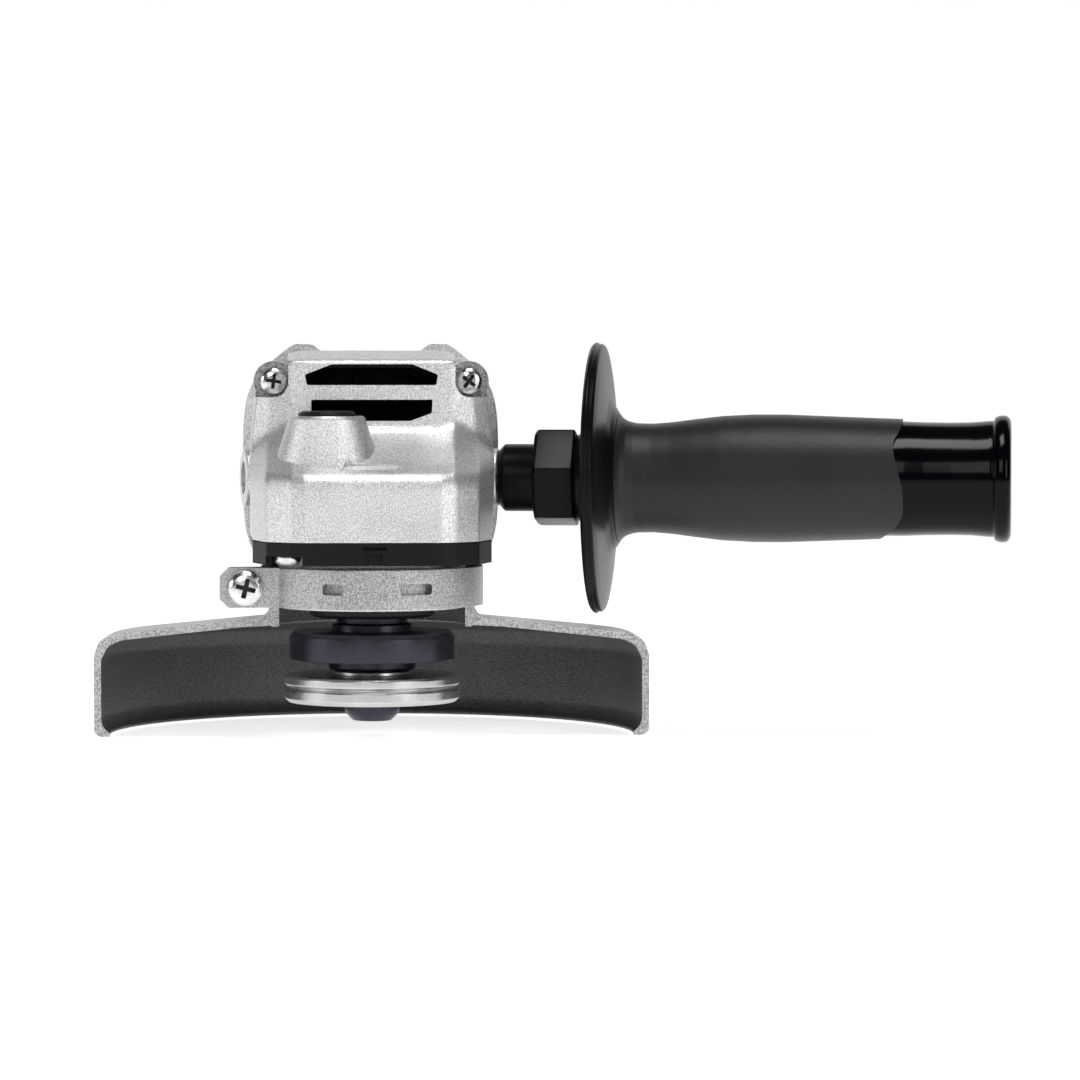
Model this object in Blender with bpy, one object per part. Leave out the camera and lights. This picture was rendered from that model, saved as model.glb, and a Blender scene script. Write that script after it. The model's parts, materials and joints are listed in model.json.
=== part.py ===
"""An angle grinder with a 115 mm wheel guard and a side handle, as separate solids.

Sizes are in millimetres. MM turns them into Blender's metres as each mesh is made.
The origin is the centre of the spindle's end face. +X is towards the side handle,
+Y runs back along the motor, and +Z is up, away from the wheel.
"""

import math

import bmesh
import bpy
from mathutils import Matrix, Vector

MM = 0.001
CLEAR = 0.3
SMOOTH_ANGLE = math.radians(32)
ROUND = 28
SMALL_ROUND = 12
OVAL_ROUND = 24

# Spindle and what it carries, along Z
SPINDLE_R = 7.0
SPINDLE_COLLAR_R = 9.0
SPINDLE_COLLAR_Z = 25.0
SPINDLE_BEARING_Z = 33.8
SPINDLE_BEARING_BORE_R = 6.0
SPINDLE_BEARING_R = 16.0
SPINDLE_BEARING_WIDTH = 10.0
SPINDLE_TIP_R = 4.5
SPINDLE_TIP_Z = 62.6
SPINDLE_TOP = 72.6
NUT_R = 22.4
NUT_Z = 4.8
NUT_THICK = 7.0
NUT_HUB_R = 9.7
INNER_FLANGE_R = 21.1
INNER_FLANGE_Z = 15.7
INNER_FLANGE_THICK = 7.2
PILOT_R = 11.1
PILOT_HIGH = 2.7
RETAINER_R = 16.0
RETAINER_Z = 26.6

# Bevel gears: the cones meet at the motor's axis above the spindle
MOTOR_Z = 64.0
GEAR_TEETH = 36
PINION_TEETH = 12
MODULE = 1.0
TOOTH_INNER_SHARE = 0.76
TOOTH_TIP_HALF = 0.10
TOOTH_ROOT_HALF = 0.31
GEAR_RIM_R = 23.5
GEAR_RIM_Z = 51.5
GEAR_RIM_THICK = 3.4
LOCK_HOLES = 6
LOCK_PIN_R = 2.0

# Gear housing
HEAD_BOTTOM = 46.6
NOSE_Y = -31.0
NOSE_TOP = 62.6
FACE_Y = -8.4
SHELF_TOP = 74.3
FACE_TOP = 92.0
HEAD_TOP = 94.5
HEAD_SIDE = 31.0
HEAD_REAR = 38.0
FLANGE_FRONT = 30.0
FLANGE_HALF = 33.5
FLANGE_HIGH = 30.3
CHAMBER_R = 24.6
CHAMBER_TOP = 62.5
LOCK_X = -11.4
LOCK_Y = -17.0
LOCK_BOSS_TOP = 78.0
LOCK_BOSS_R = 9.6
LOCK_BOSS_BASE_R = 12.2
BUTTON_R = 7.25
BUTTON_TOP = 79.3
HOUSING_SCREW_X = 25.1
HOUSING_SCREW_RISE = 22.6
PAD_Y = 12.0
PAD_SEAT_Y = 11.4
PAD_INNER_X = 21.2
PAD_BOTTOM = 82.7
SCREW_R = 2.1
SCREW_HEAD_R = 3.6
SCREW_HEAD_HIGH = 2.6

# Bearing flange, its cover and the guard's clamp
FLANGE_PLATE_Z = 43.5
COVER_Z = 40.8
COVER_WALL = 2.0
COVER_REAR = 26.6
FLANGE_SCREW_X = 21.2
FLANGE_SCREW_Y = 20.5
NECK_R = 23.9
NECK_Z = 29.0
BAND_Z = 29.7
BAND_HIGH = 10.0
BAND_THICK = 2.1
LUG_X = -38.5
LUG_GAP = 4.0
CLAMP_SCREW_X = -31.9
CLAMP_HEAD_R = 4.6
CLAMP_SHANK_R = 2.4

# Wheel guard
GUARD_R = 70.9
GUARD_WALL = 1.8
GUARD_TOP_INNER_Z = 26.4
GUARD_TOP_OUTER_Z = 22.6
GUARD_SHOULDER_R = 65.6
GUARD_BOTTOM = -3.7
GUARD_LIP = 2.4
GUARD_CUT_Y = -5.0
GUARD_NECK_TOP = 39.2

# Side handle, along its own axis from the boss face
HANDLE_BOSS_X = 33.0
HANDLE_BOSS_Y = 12.0
HANDLE_BOSS_Z = 61.7
HANDLE_BOSS_R = 7.5
HANDLE_TILT = math.radians(9)
STUD_R = 3.85
STUD_DEPTH = 8.0
COLLAR_R = 8.7
COLLAR_END = 9.7
HEX_R = 13.3
HEX_END = 21.8
HEX_TURN = math.radians(10)
DISC_AT = 27.4
DISC_R = 34.9
GRIP_END = 104.6
GRIP_CORE_R = 9.0
HANDLE_END = 131.7

# Motor, along Y
SHAFT_R = 4.0
FRONT_BEARING_Y = 24.0
FRONT_BEARING_R = 13.0
FRONT_BEARING_BORE_R = 5.0
FRONT_BEARING_WIDTH = 8.0
FAN_Y = 41.0
FAN_R = 25.5
BAFFLE_Y = 51.0
CORE_Y = 60.0
CORE_LONG = 34.0
CORE_R = 17.5
AIR_GAP = 0.8
STATOR_R = 27.0
STATOR_FLAT_X = 24.8
COMMUTATOR_Y = 104.0
COMMUTATOR_LONG = 13.0
COMMUTATOR_R = 11.0
REAR_BEARING_Y = 124.0
REAR_BEARING_R = 11.0
REAR_BEARING_WIDTH = 7.0
MOTOR_TUBE_R = 30.5
MOTOR_WALL = 2.5
MOTOR_REAR = 136.0
BRUSH_LONG = 11.0
BRUSH_HALF = 3.0
BRUSH_RISE = 2.4

# Rear handle and the cord's inlet
HANDLE_REAR = 238.0
REAR_WALL = 2.5
INLET_Z = 58.0
INLET_R = 7.0
INLET_END = 262.0
REAR_SECTIONS = (
    (MOTOR_REAR + CLEAR, 30.5, 30.5, 64.0),
    (150.0, 30.5, 30.5, 64.0),
    (166.0, 25.0, 27.0, 62.5),
    (200.0, 23.0, 26.0, 60.0),
    (228.0, 24.0, 28.0, 58.0),
    (HANDLE_REAR, 20.0, 24.0, 58.0),
)
REAR_SCREWS = ((158.0, 76.0), (196.0, 48.0), (226.0, 70.0))
REAR_SCREW_SEAT = 14.0
REAR_SCREW_R = 1.5
REAR_SCREW_HEAD_R = 3.0
REAR_POWER = 2.3

AXES = {"X": Vector((1, 0, 0)), "Y": Vector((0, 1, 0)), "Z": Vector((0, 0, 1))}


# ---------------------------------------------------------------- helpers


def clear_scene():
    for obj in list(bpy.data.objects):
        bpy.data.objects.remove(obj)


def material(name, colour, roughness, metallic):
    look = bpy.data.materials.new(name)
    look.use_nodes = True
    shader = look.node_tree.nodes["Principled BSDF"]
    shader.inputs["Base Color"].default_value = (*colour, 1)
    shader.inputs["Roughness"].default_value = roughness
    shader.inputs["Metallic"].default_value = metallic
    return look


KINDS = {
    "cast_aluminium": ((0.62, 0.62, 0.62), 0.5, 0.8),
    "guard_paint": ((0.45, 0.45, 0.46), 0.5, 0.6),
    "dark_steel": ((0.06, 0.07, 0.09), 0.4, 0.9),
    "zinc_steel": ((0.7, 0.7, 0.7), 0.25, 1.0),
    "steel": ((0.45, 0.45, 0.46), 0.35, 1.0),
    "black_plastic": ((0.02, 0.02, 0.022), 0.5, 0.0),
    "gloss_plastic": ((0.01, 0.01, 0.011), 0.2, 0.0),
    "soft_rubber": ((0.03, 0.03, 0.032), 0.8, 0.0),
    "copper": ((0.6, 0.25, 0.12), 0.35, 1.0),
    "brass": ((0.6, 0.45, 0.2), 0.35, 1.0),
    "carbon": ((0.03, 0.03, 0.03), 0.6, 0.1),
    "laminate": ((0.2, 0.2, 0.21), 0.5, 0.8),
}


def add(name, shape, kind, at=(0, 0, 0)):
    """Makes an object of a mesh that lies in place in millimetres, with its origin at this point."""
    bmesh.ops.translate(shape, vec=-Vector(at), verts=shape.verts)
    bmesh.ops.scale(shape, vec=(MM, MM, MM), verts=shape.verts)
    bmesh.ops.recalc_face_normals(shape, faces=shape.faces)
    mesh = bpy.data.meshes.new(name)
    shape.to_mesh(mesh)
    shape.free()
    mesh.shade_smooth()
    mesh.set_sharp_from_angle(angle=SMOOTH_ANGLE)
    obj = bpy.data.objects.new(name, mesh)
    obj.location = Vector(at) * MM
    obj.data.materials.append(material(name, *KINDS[kind]))
    bpy.context.scene.collection.objects.link(obj)
    return obj


def combine(target, shapes, operation):
    """Adds one Boolean for each shape, which becomes a hidden object."""
    for number, shape in enumerate(shapes, 1):
        tool = add(f"{target.name}_{operation.lower()}_{number}", shape, "steel")
        tool.hide_render = True
        tool.display_type = "WIRE"
        step = target.modifiers.new(tool.name, "BOOLEAN")
        step.operation = operation
        step.object = tool
    return target


def cut(target, *shapes):
    return combine(target, shapes, "DIFFERENCE")


def fuse(target, *shapes):
    return combine(target, shapes, "UNION")


def turned(profile, at=(0, 0, 0), axis="Z", steps=ROUND, start=0.0, sweep=360.0):
    """Turns an outline of (radius, height) points about an axis through a point."""
    shape = bmesh.new()
    verts = [shape.verts.new((radius, 0, height)) for radius, height in profile]
    if sweep < 360:
        geometry = [shape.faces.new(verts)]
    else:
        pairs = zip(verts, verts[1:] + verts[:1])
        geometry = [shape.edges.new(pair) for pair in pairs if on_surface(pair)]
    bmesh.ops.rotate(shape, matrix=Matrix.Rotation(math.radians(start), 3, "Z"), verts=verts)
    bmesh.ops.spin(
        shape,
        geom=geometry,
        axis=AXES["Z"],
        angle=math.radians(sweep),
        steps=steps,
        use_merge=sweep == 360,
    )
    bmesh.ops.remove_doubles(shape, verts=shape.verts, dist=1e-5)
    return placed(shape, at, axis)


def on_surface(pair):
    """An edge along the axis isn't part of the turned surface."""
    return any(vert.co.x > 1e-6 for vert in pair)


def placed(shape, at, axis):
    turn = AXES["Z"].rotation_difference(AXES[axis]).to_matrix().to_4x4()
    bmesh.ops.transform(shape, matrix=Matrix.Translation(Vector(at)) @ turn, verts=shape.verts)
    return shape


def ring(inner, outer, low, high):
    return ((outer, low), (outer, high), (inner, high), (inner, low))


def rod(radius, low, high, at=(0, 0, 0), axis="Z", steps=SMALL_ROUND):
    shape = bmesh.new()
    bmesh.ops.create_cone(
        shape, cap_ends=True, segments=steps, radius1=radius, radius2=radius, depth=high - low
    )
    bmesh.ops.translate(shape, vec=(0, 0, (low + high) / 2), verts=shape.verts)
    return placed(shape, at, axis)


def block(x, y, z):
    """A box from three (low, high) pairs."""
    shape = bmesh.new()
    bmesh.ops.create_cube(shape, size=1.0)
    size = [high - low for low, high in (x, y, z)]
    centre = [(high + low) / 2 for low, high in (x, y, z)]
    bmesh.ops.scale(shape, vec=size, verts=shape.verts)
    bmesh.ops.translate(shape, vec=centre, verts=shape.verts)
    return shape


def joined(shapes):
    """One mesh that holds several separate bodies."""
    whole = bmesh.new()
    for shape in shapes:
        mesh = bpy.data.meshes.new("joined")
        shape.to_mesh(mesh)
        shape.free()
        whole.from_mesh(mesh)
        bpy.data.meshes.remove(mesh)
    return whole


def prism(outline, low, high, axis="Z"):
    """Extrudes an outline along an axis. The outline's points are (x, y), (x, z) or (y, z)."""
    order = {"X": lambda a, b: (low, a, b), "Y": lambda a, b: (a, low, b), "Z": lambda a, b: (a, b, low)}
    shape = bmesh.new()
    face = shape.faces.new([shape.verts.new(order[axis](*point)) for point in outline])
    extruded = bmesh.ops.extrude_face_region(shape, geom=[face])
    moved = [item for item in extruded["geom"] if isinstance(item, bmesh.types.BMVert)]
    bmesh.ops.translate(shape, vec=AXES[axis] * (high - low), verts=moved)
    return shape


def loft(sections):
    """Joins closed outlines of the same number of points, one after another, and caps both ends."""
    shape = bmesh.new()
    rows = [[shape.verts.new(point) for point in section] for section in sections]
    count = len(rows[0])
    for lower, upper in zip(rows, rows[1:]):
        for i in range(count):
            j = (i + 1) % count
            shape.faces.new((lower[i], lower[j], upper[j], upper[i]))
    shape.faces.new(rows[0])
    shape.faces.new(rows[-1])
    bmesh.ops.triangulate(shape, faces=shape.faces)
    return shape


def mirrored(half):
    """A closed outline from its right half, whose points run from the front to the back."""
    return [*half, *[(-point[0], *point[1:]) for point in reversed(half)]]


def oval(half_width, half_height, power, y, z, count=OVAL_ROUND):
    """A rounded outline in the plane at this y. Power 2 is an ellipse, and 4 is almost square."""
    points = []
    for i in range(count):
        angle = 2 * math.pi * (i + 0.5) / count
        across, up = math.cos(angle), math.sin(angle)
        across = math.copysign(abs(across) ** (2 / power), across)
        up = math.copysign(abs(up) ** (2 / power), up)
        points.append((half_width * across, y, z + half_height * up))
    return points


def toothed(count, station, tip_half, root_half):
    """A closed ring whose cross-section swaps between a tooth's and a gap's.

    station(is_tooth) gives the section as (radius, height) points, always in the same number.
    The halves are half a tooth's width at its tip and its root, as shares of the pitch.
    """
    pitch = 2 * math.pi / count
    marks = ((-root_half, False), (-tip_half, True), (tip_half, True), (root_half, False))
    shape = bmesh.new()
    rows = []
    for tooth in range(count):
        for place, is_tooth in marks:
            angle = pitch * (tooth + place)
            spot = [(r * math.cos(angle), r * math.sin(angle), h) for r, h in station(is_tooth)]
            rows.append([shape.verts.new(point) for point in spot])
    for row, after in zip(rows, rows[1:] + rows[:1]):
        for i in range(len(row)):
            j = (i + 1) % len(row)
            shape.faces.new((row[i], row[j], after[j], after[i]))
    return shape


def spring(name, radius, wire, turns, start, end, kind="steel"):
    """A coil spring between two points."""
    start, end = Vector(start), Vector(end)
    along = end - start
    turn = AXES["Z"].rotation_difference(along).to_matrix()
    steps = turns * 8
    curve = bpy.data.curves.new(name, "CURVE")
    curve.dimensions = "3D"
    line = curve.splines.new("POLY")
    line.points.add(steps)
    inner = along.length - 2 * wire
    for i, point in enumerate(line.points):
        angle = 2 * math.pi * turns * i / steps
        spot = Vector((radius * math.cos(angle), radius * math.sin(angle), wire + inner * i / steps))
        point.co = (*(turn @ spot * MM), 1)
    curve.bevel_depth = wire * MM
    curve.bevel_resolution = 0
    curve.use_fill_caps = True
    obj = bpy.data.objects.new(name, curve)
    obj.location = start * MM
    curve.materials.append(material(name, *KINDS[kind]))
    bpy.context.scene.collection.objects.link(obj)
    return obj


# ---------------------------------------------------------------- gear head


def head_outline(front, side_in, low):
    """The head's plan at one height, from the middle of its front round to its rear corner."""
    return mirrored(
        [
            (17.0, front, low),
            (20.7, front + 1.6, low),
            (26.8, front + 7.6, low),
            (HEAD_SIDE - side_in, front + 21.0, low),
            (HEAD_SIDE + 0.8, FLANGE_FRONT + 4, low),
        ]
    )


def upper_outline(front, drops, low, inset):
    """The head's plan above its shelf. The drops lower its outer corners below the middle."""
    half = (
        (17.0, front, low - drops[0]),
        (20.7, front + 0.5, low - drops[1]),
        (26.6 - inset, front + 2.4, low - drops[2]),
        (HEAD_SIDE - inset, front + 5.0, low - drops[3]),
        (HEAD_SIDE + 0.8 - inset, FLANGE_FRONT + 4, low - drops[4]),
    )
    return mirrored(half)


def flange_outline():
    return [(x, z) for x, _, z in oval(FLANGE_HALF, FLANGE_HIGH, 4, 0, MOTOR_Z)]


def top_ear(side):
    points = (
        (12.6, 92.0), (12.9, 94.3), (15.4, 96.2), (19.9, 96.2), (21.9, 94.9), (26.0, 91.6), (26.0, 88.0),
    )
    return prism([(side * x, z) for x, z in points], FLANGE_FRONT - 6, HEAD_REAR, "Y")


# Each point's x, and its share of the slot's height
UPPER_SLOT = ((-16.5, 0.0), (16.3, 0.0), (16.8, 0.5), (10.2, 1.0), (-10.2, 1.0), (-17.0, 0.5))
LOWER_SLOT = ((-15.4, 0.0), (9.8, 0.0), (15.2, 0.37), (15.4, 1.0), (-15.4, 1.0))


def slot(points, low, high):
    outline = [(x, low + (high - low) * up) for x, up in points]
    return prism(outline, FACE_Y - 6, FACE_Y + 7, "Y")


def handle_place(side):
    """The frame of a handle boss: its axis is +Z, out of the boss face."""
    axis = Vector((side * math.cos(HANDLE_TILT), -math.sin(HANDLE_TILT), 0))
    turn = AXES["Z"].rotation_difference(axis).to_matrix().to_4x4()
    return Matrix.Translation((side * HANDLE_BOSS_X, HANDLE_BOSS_Y, HANDLE_BOSS_Z)) @ turn


def on_boss(side, shape):
    bmesh.ops.transform(shape, matrix=handle_place(side), verts=shape.verts)
    return shape


def duct():
    """The air's way out above the gears."""
    rear = HEAD_REAR + 2
    outline = ((-3.5, 76.6), (21, 76.6), (24, 79.6), (rear, 79.6), (rear, 90.6), (2, 90.6), (-3.5, 89.8))
    return prism(outline, -17.0, 17.0, "X")


def roof():
    """Levels the top of the head above the duct."""
    top, rear = HEAD_TOP - 0.3, FLANGE_FRONT + 1
    return prism(((4.0, 88.0), (5.2, top), (rear, top), (rear, 88.0)), -20.5, 20.5, "X")


def corner_pad(side):
    """Clears the corner in front of a housing screw."""
    x = sorted((side * PAD_INNER_X, side * (FLANGE_HALF + 3)))
    return block(x, (NOSE_Y - 1, PAD_Y), (PAD_BOTTOM, HEAD_TOP + 4))


def housing_screw_spots():
    """Each screw's x and z, and where its head's face rests."""
    for side in (-1, 1):
        for rise, seat in ((HOUSING_SCREW_RISE, PAD_SEAT_Y), (-HOUSING_SCREW_RISE, FLANGE_FRONT)):
            yield side * HOUSING_SCREW_X, MOTOR_Z + rise, seat


def housing_screw_bores():
    return [
        rod(SCREW_R + CLEAR, seat - 3, HEAD_REAR + 1, (x, 0, z), "Y") for x, z, seat in housing_screw_spots()
    ]


def gear_housing():
    sections = [
        head_outline(NOSE_Y, 0.8, HEAD_BOTTOM),
        head_outline(NOSE_Y, 0.0, NOSE_TOP),
        upper_outline(FACE_Y, (0, -1.4, 1.6, 5.0, 5.0), SHELF_TOP, 0.0),
        upper_outline(FACE_Y + 1.6, (0, 0, 2.6, 8.0, 5.0), FACE_TOP, 1.6),
        upper_outline(FACE_Y + 14.0, (0, 0.4, 3.4, 9.0, 5.0), HEAD_TOP, 2.2),
    ]
    body = add("gear_housing", loft(sections), "cast_aluminium")
    lock = (LOCK_X, LOCK_Y, 0)
    cone = (
        (0, 60.0),
        (LOCK_BOSS_BASE_R, 60.0),
        (LOCK_BOSS_BASE_R, 66.0),
        (LOCK_BOSS_R, LOCK_BOSS_TOP - 0.6),
        (LOCK_BOSS_R - 0.6, LOCK_BOSS_TOP),
        (0, LOCK_BOSS_TOP),
    )
    screw_z = MOTOR_Z + HOUSING_SCREW_RISE
    screw_seats = [
        rod(5.2, PAD_SEAT_Y, HEAD_REAR - 1, (side * HOUSING_SCREW_X, 0, screw_z), "Y") for side in (-1, 1)
    ]
    fuse(
        body,
        prism(flange_outline(), FLANGE_FRONT, HEAD_REAR, "Y"),
        roof(),
        joined([top_ear(-1), top_ear(1)]),
        turned(cone, lock, steps=SMALL_ROUND * 2),
        joined([on_boss(side, rod(HANDLE_BOSS_R, -12, 0)) for side in (-1, 1)]),
    )
    cut(body, corner_pad(-1), corner_pad(1))
    fuse(body, joined(screw_seats))
    chamber = (
        (0, HEAD_BOTTOM - 2),
        (CHAMBER_R, HEAD_BOTTOM - 2),
        (CHAMBER_R, CHAMBER_TOP),
        (7 + CLEAR, CHAMBER_TOP + 2),
        (7 + CLEAR, 73.3),
        (0, 73.3),
    )
    bore = (
        (0, 6.0),
        (8.4, 6.0),
        (8.4, FRONT_BEARING_Y - CLEAR),
        (FRONT_BEARING_R + CLEAR, FRONT_BEARING_Y - CLEAR),
        (FRONT_BEARING_R + CLEAR, HEAD_REAR + 1),
        (0, HEAD_REAR + 1),
    )
    button = (
        (0, CHAMBER_TOP - 3),
        (LOCK_PIN_R + CLEAR, CHAMBER_TOP - 3),
        (LOCK_PIN_R + CLEAR, 68.2),
        (BUTTON_R + CLEAR, 68.2),
        (BUTTON_R + CLEAR, LOCK_BOSS_TOP + 8),
        (0, LOCK_BOSS_TOP + 8),
    )
    cut(
        body,
        turned(chamber),
        turned(bore, (0, 0, MOTOR_Z), "Y"),
        turned(button, lock, steps=SMALL_ROUND * 2, start=5),
        duct(),
        slot(UPPER_SLOT, 86.2, 91.0),
        slot(LOWER_SLOT, 77.1, 82.0),
        joined([on_boss(side, rod(STUD_R + CLEAR, -STUD_DEPTH - 0.6, 1)) for side in (-1, 1)]),
        joined(housing_screw_bores()),
        flange_screw_bores(SCREW_R + CLEAR, HEAD_BOTTOM - 2, HEAD_BOTTOM + 10),
    )
    return body


def pan_screw(name, spot, axis, seat, length, radius=SCREW_R, head_r=SCREW_HEAD_R, high=SCREW_HEAD_HIGH):
    """A pan-head screw with a cross recess. Its head points down the axis, and the seat is under it."""
    under = seat - CLEAR
    face = under - high
    profile = (
        (0, face),
        (head_r * 0.62, face),
        (head_r * 0.93, face + high * 0.32),
        (head_r, face + high * 0.7),
        (head_r, under),
        (radius, under),
        (radius, seat + length),
        (0, seat + length),
    )
    screw = add(name, turned(profile, spot, axis, SMALL_ROUND), "zinc_steel")
    return cut(screw, cross_recess(spot, axis, face, head_r * 0.55, head_r * 0.13, high * 0.55))


def cross_recess(spot, axis, face, arm, wide, deep):
    low, high = face - 0.5, face + deep
    outline = [(-arm, -wide), (-wide, -wide), (-wide, -arm), (wide, -arm), (wide, -wide), (arm, -wide)]
    outline += [(-x, -y) for x, y in outline]
    return placed(prism(outline, low, high), spot, axis)


def housing_screws():
    for number, (x, z, seat) in enumerate(housing_screw_spots(), 1):
        pan_screw(f"housing_screw_{number}", (x, 0, z), "Y", seat, HEAD_REAR + 12 - seat)


# ---------------------------------------------------------------- bearing flange and its cover


def flange_screw_spots():
    return [(side * FLANGE_SCREW_X, end * FLANGE_SCREW_Y) for side in (-1, 1) for end in (-1, 1)]


def flange_screw_bores(radius, low, high):
    return joined([rod(radius, low, high, (x, y, 0)) for x, y in flange_screw_spots()])


def plate_outline(inset):
    half = (
        (17.0 - inset * 0.4, NOSE_Y + inset),
        (20.7 - inset * 0.6, NOSE_Y + 1.6 + inset),
        (26.6 - inset, NOSE_Y + 7.6 + inset * 0.6),
        (30.3 - inset, NOSE_Y + 21.0),
        (30.5 - inset, COVER_REAR - inset),
    )
    return mirrored(half)


def bearing_flange():
    top = HEAD_BOTTOM - CLEAR
    plate = prism(plate_outline(COVER_WALL + CLEAR), FLANGE_PLATE_Z, top)
    flange = add("bearing_flange", plate, "cast_aluminium")
    neck = ((0, NECK_Z), (NECK_R, NECK_Z), (NECK_R, FLANGE_PLATE_Z + 1), (0, FLANGE_PLATE_Z + 1))
    bore_top = SPINDLE_BEARING_Z + SPINDLE_BEARING_WIDTH + CLEAR
    bore = (
        (0, NECK_Z - 2),
        (SPINDLE_BEARING_R + CLEAR, NECK_Z - 2),
        (SPINDLE_BEARING_R + CLEAR, bore_top),
        (12.0, bore_top),
        (12.0, top + 1),
        (0, top + 1),
    )
    fuse(flange, turned(neck))
    cut(flange, turned(bore), flange_screw_bores(SCREW_R + CLEAR, FLANGE_PLATE_Z - 1, top + 1))
    return flange


def flange_cover():
    top = HEAD_BOTTOM - CLEAR
    cover = add("flange_cover", prism(plate_outline(0), COVER_Z, top), "black_plastic")
    cut(
        cover,
        prism(plate_outline(COVER_WALL), FLANGE_PLATE_Z - CLEAR, top + 1),
        rod(NECK_R + 3.2, COVER_Z - 1, FLANGE_PLATE_Z + 1, steps=ROUND),
        flange_screw_bores(SCREW_HEAD_R + 0.6, COVER_Z - 1, FLANGE_PLATE_Z + 1),
        block((-2.6, 3.4), (NOSE_Y - 1, NOSE_Y + 0.9), (COVER_Z - 1, top - 1.2)),
        block((-26.8, -17.6), (NOSE_Y - 1, -FLANGE_SCREW_Y), (COVER_Z - 1, COVER_Z + 2.0)),
    )
    return cover


def flange_screws():
    for number, (x, y) in enumerate(flange_screw_spots(), 1):
        pan_screw(f"flange_screw_{number}", (x, y, 0), "Z", FLANGE_PLATE_Z, 10.5)


def bearing(name, at, axis, inner_r, outer_r, low, width, balls):
    """A deep-groove ball bearing: two rings and their balls."""
    middle, ball_r = (inner_r + outer_r) / 2, (outer_r - inner_r) * 0.23
    inner = ring(inner_r + CLEAR, middle - ball_r * 0.7, low, low + width)
    outer = ring(middle + ball_r * 0.7, outer_r, low, low + width)
    for race, sides in (("inner", inner), ("outer", outer)):
        profile = grooved(sides, middle, ball_r, low + width / 2)
        add(f"{name}_{race}_race", turned(profile, at, axis, SMALL_ROUND * 2), "steel")
    cage = ring(middle - 0.5, middle + 0.5, low + width / 2 - 1, low + width / 2 + 1)
    caged = add(f"{name}_balls", turned(cage, at, axis, SMALL_ROUND * 2), "steel")
    shapes = []
    for number in range(balls):
        angle = 2 * math.pi * number / balls
        ball = bmesh.new()
        bmesh.ops.create_icosphere(ball, subdivisions=1, radius=ball_r)
        spot = (middle * math.cos(angle), middle * math.sin(angle), low + width / 2)
        bmesh.ops.translate(ball, vec=spot, verts=ball.verts)
        shapes.append(placed(ball, at, axis))
    fuse(caged, joined(shapes))


def grooved(section, middle, ball_r, height):
    """A bearing ring's section with the balls' groove in the side that faces them."""
    side = min(section, key=lambda point: abs(point[0] - middle))[0]
    away = math.copysign(ball_r * 0.35 + CLEAR / 2, side - middle)
    groove = ((side, height - ball_r * 0.85), (side + away, height - ball_r * 0.4),
              (side + away, height + ball_r * 0.4), (side, height + ball_r * 0.85))
    points = list(section)
    ends = [i for i, point in enumerate(points) if point[0] == side]
    rising = points[ends[0]][1] < points[ends[1]][1]
    if ends == [0, 1]:
        return points[:1] + list(groove if rising else reversed(groove)) + points[1:]
    return points[:3] + list(reversed(groove)) + points[3:]


# ---------------------------------------------------------------- spindle group


def spindle():
    bearing_top = SPINDLE_BEARING_Z - CLEAR
    profile = (
        (0, 0),
        (SPINDLE_R - 0.9, 0),
        (SPINDLE_R, 0.9),
        (SPINDLE_R, SPINDLE_COLLAR_Z),
        (SPINDLE_COLLAR_R, SPINDLE_COLLAR_Z),
        (SPINDLE_COLLAR_R, bearing_top),
        (SPINDLE_BEARING_BORE_R, bearing_top),
        (SPINDLE_BEARING_BORE_R, SPINDLE_TIP_Z),
        (SPINDLE_TIP_R, SPINDLE_TIP_Z),
        (SPINDLE_TIP_R, SPINDLE_TOP),
        (0, SPINDLE_TOP),
    )
    return add("spindle", turned(profile), "dark_steel")


def inner_flange():
    low, high = INNER_FLANGE_Z, INNER_FLANGE_Z + INNER_FLANGE_THICK
    bore = SPINDLE_R + CLEAR
    profile = (
        (bore, low - PILOT_HIGH),
        (PILOT_R - 0.4, low - PILOT_HIGH),
        (PILOT_R, low - PILOT_HIGH + 0.4),
        (PILOT_R, low),
        (INNER_FLANGE_R, low),
        (INNER_FLANGE_R, high - 1.1),
        (INNER_FLANGE_R - 1.1, high),
        (10.2, high),
        (10.2, SPINDLE_COLLAR_Z - CLEAR),
        (bore, SPINDLE_COLLAR_Z - CLEAR),
    )
    return add("inner_flange", turned(profile), "dark_steel")


def clamp_nut():
    low, high = NUT_Z, NUT_Z + NUT_THICK
    groove, bore = low + 4.1, SPINDLE_R + CLEAR
    profile = (
        (bore, low),
        (NUT_R - 1.2, low),
        (NUT_R, low + 0.9),
        (NUT_R, groove - 0.7),
        (NUT_R - 0.7, groove),
        (NUT_R, groove + 0.7),
        (NUT_R, high - 0.5),
        (NUT_R - 0.5, high),
        (NUT_HUB_R, high),
        (NUT_HUB_R, INNER_FLANGE_Z - PILOT_HIGH - CLEAR),
        (bore, INNER_FLANGE_Z - PILOT_HIGH - CLEAR),
    )
    nut = add("clamp_nut", turned(profile), "zinc_steel")
    holes = [rod(2.5, low - 1, low + 4.5, (side * 15, 0, 0), steps=SMALL_ROUND) for side in (-1, 1)]
    return cut(nut, joined(holes))


def bearing_retainer():
    profile = (
        (SPINDLE_COLLAR_R + CLEAR, RETAINER_Z),
        (RETAINER_R, RETAINER_Z),
        (RETAINER_R, SPINDLE_BEARING_Z - CLEAR),
        (SPINDLE_COLLAR_R + CLEAR, SPINDLE_BEARING_Z - CLEAR),
    )
    return add("bearing_retainer", turned(profile), "black_plastic")


def cone_point(teeth, mate, share, height):
    """A tooth's (radius, distance from the cones' meeting point) at a share of its pitch line."""
    radius, reach = MODULE * teeth / 2, MODULE * mate / 2
    line = math.hypot(radius, reach)
    return radius * share + height * reach / line, reach * share - height * radius / line


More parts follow.
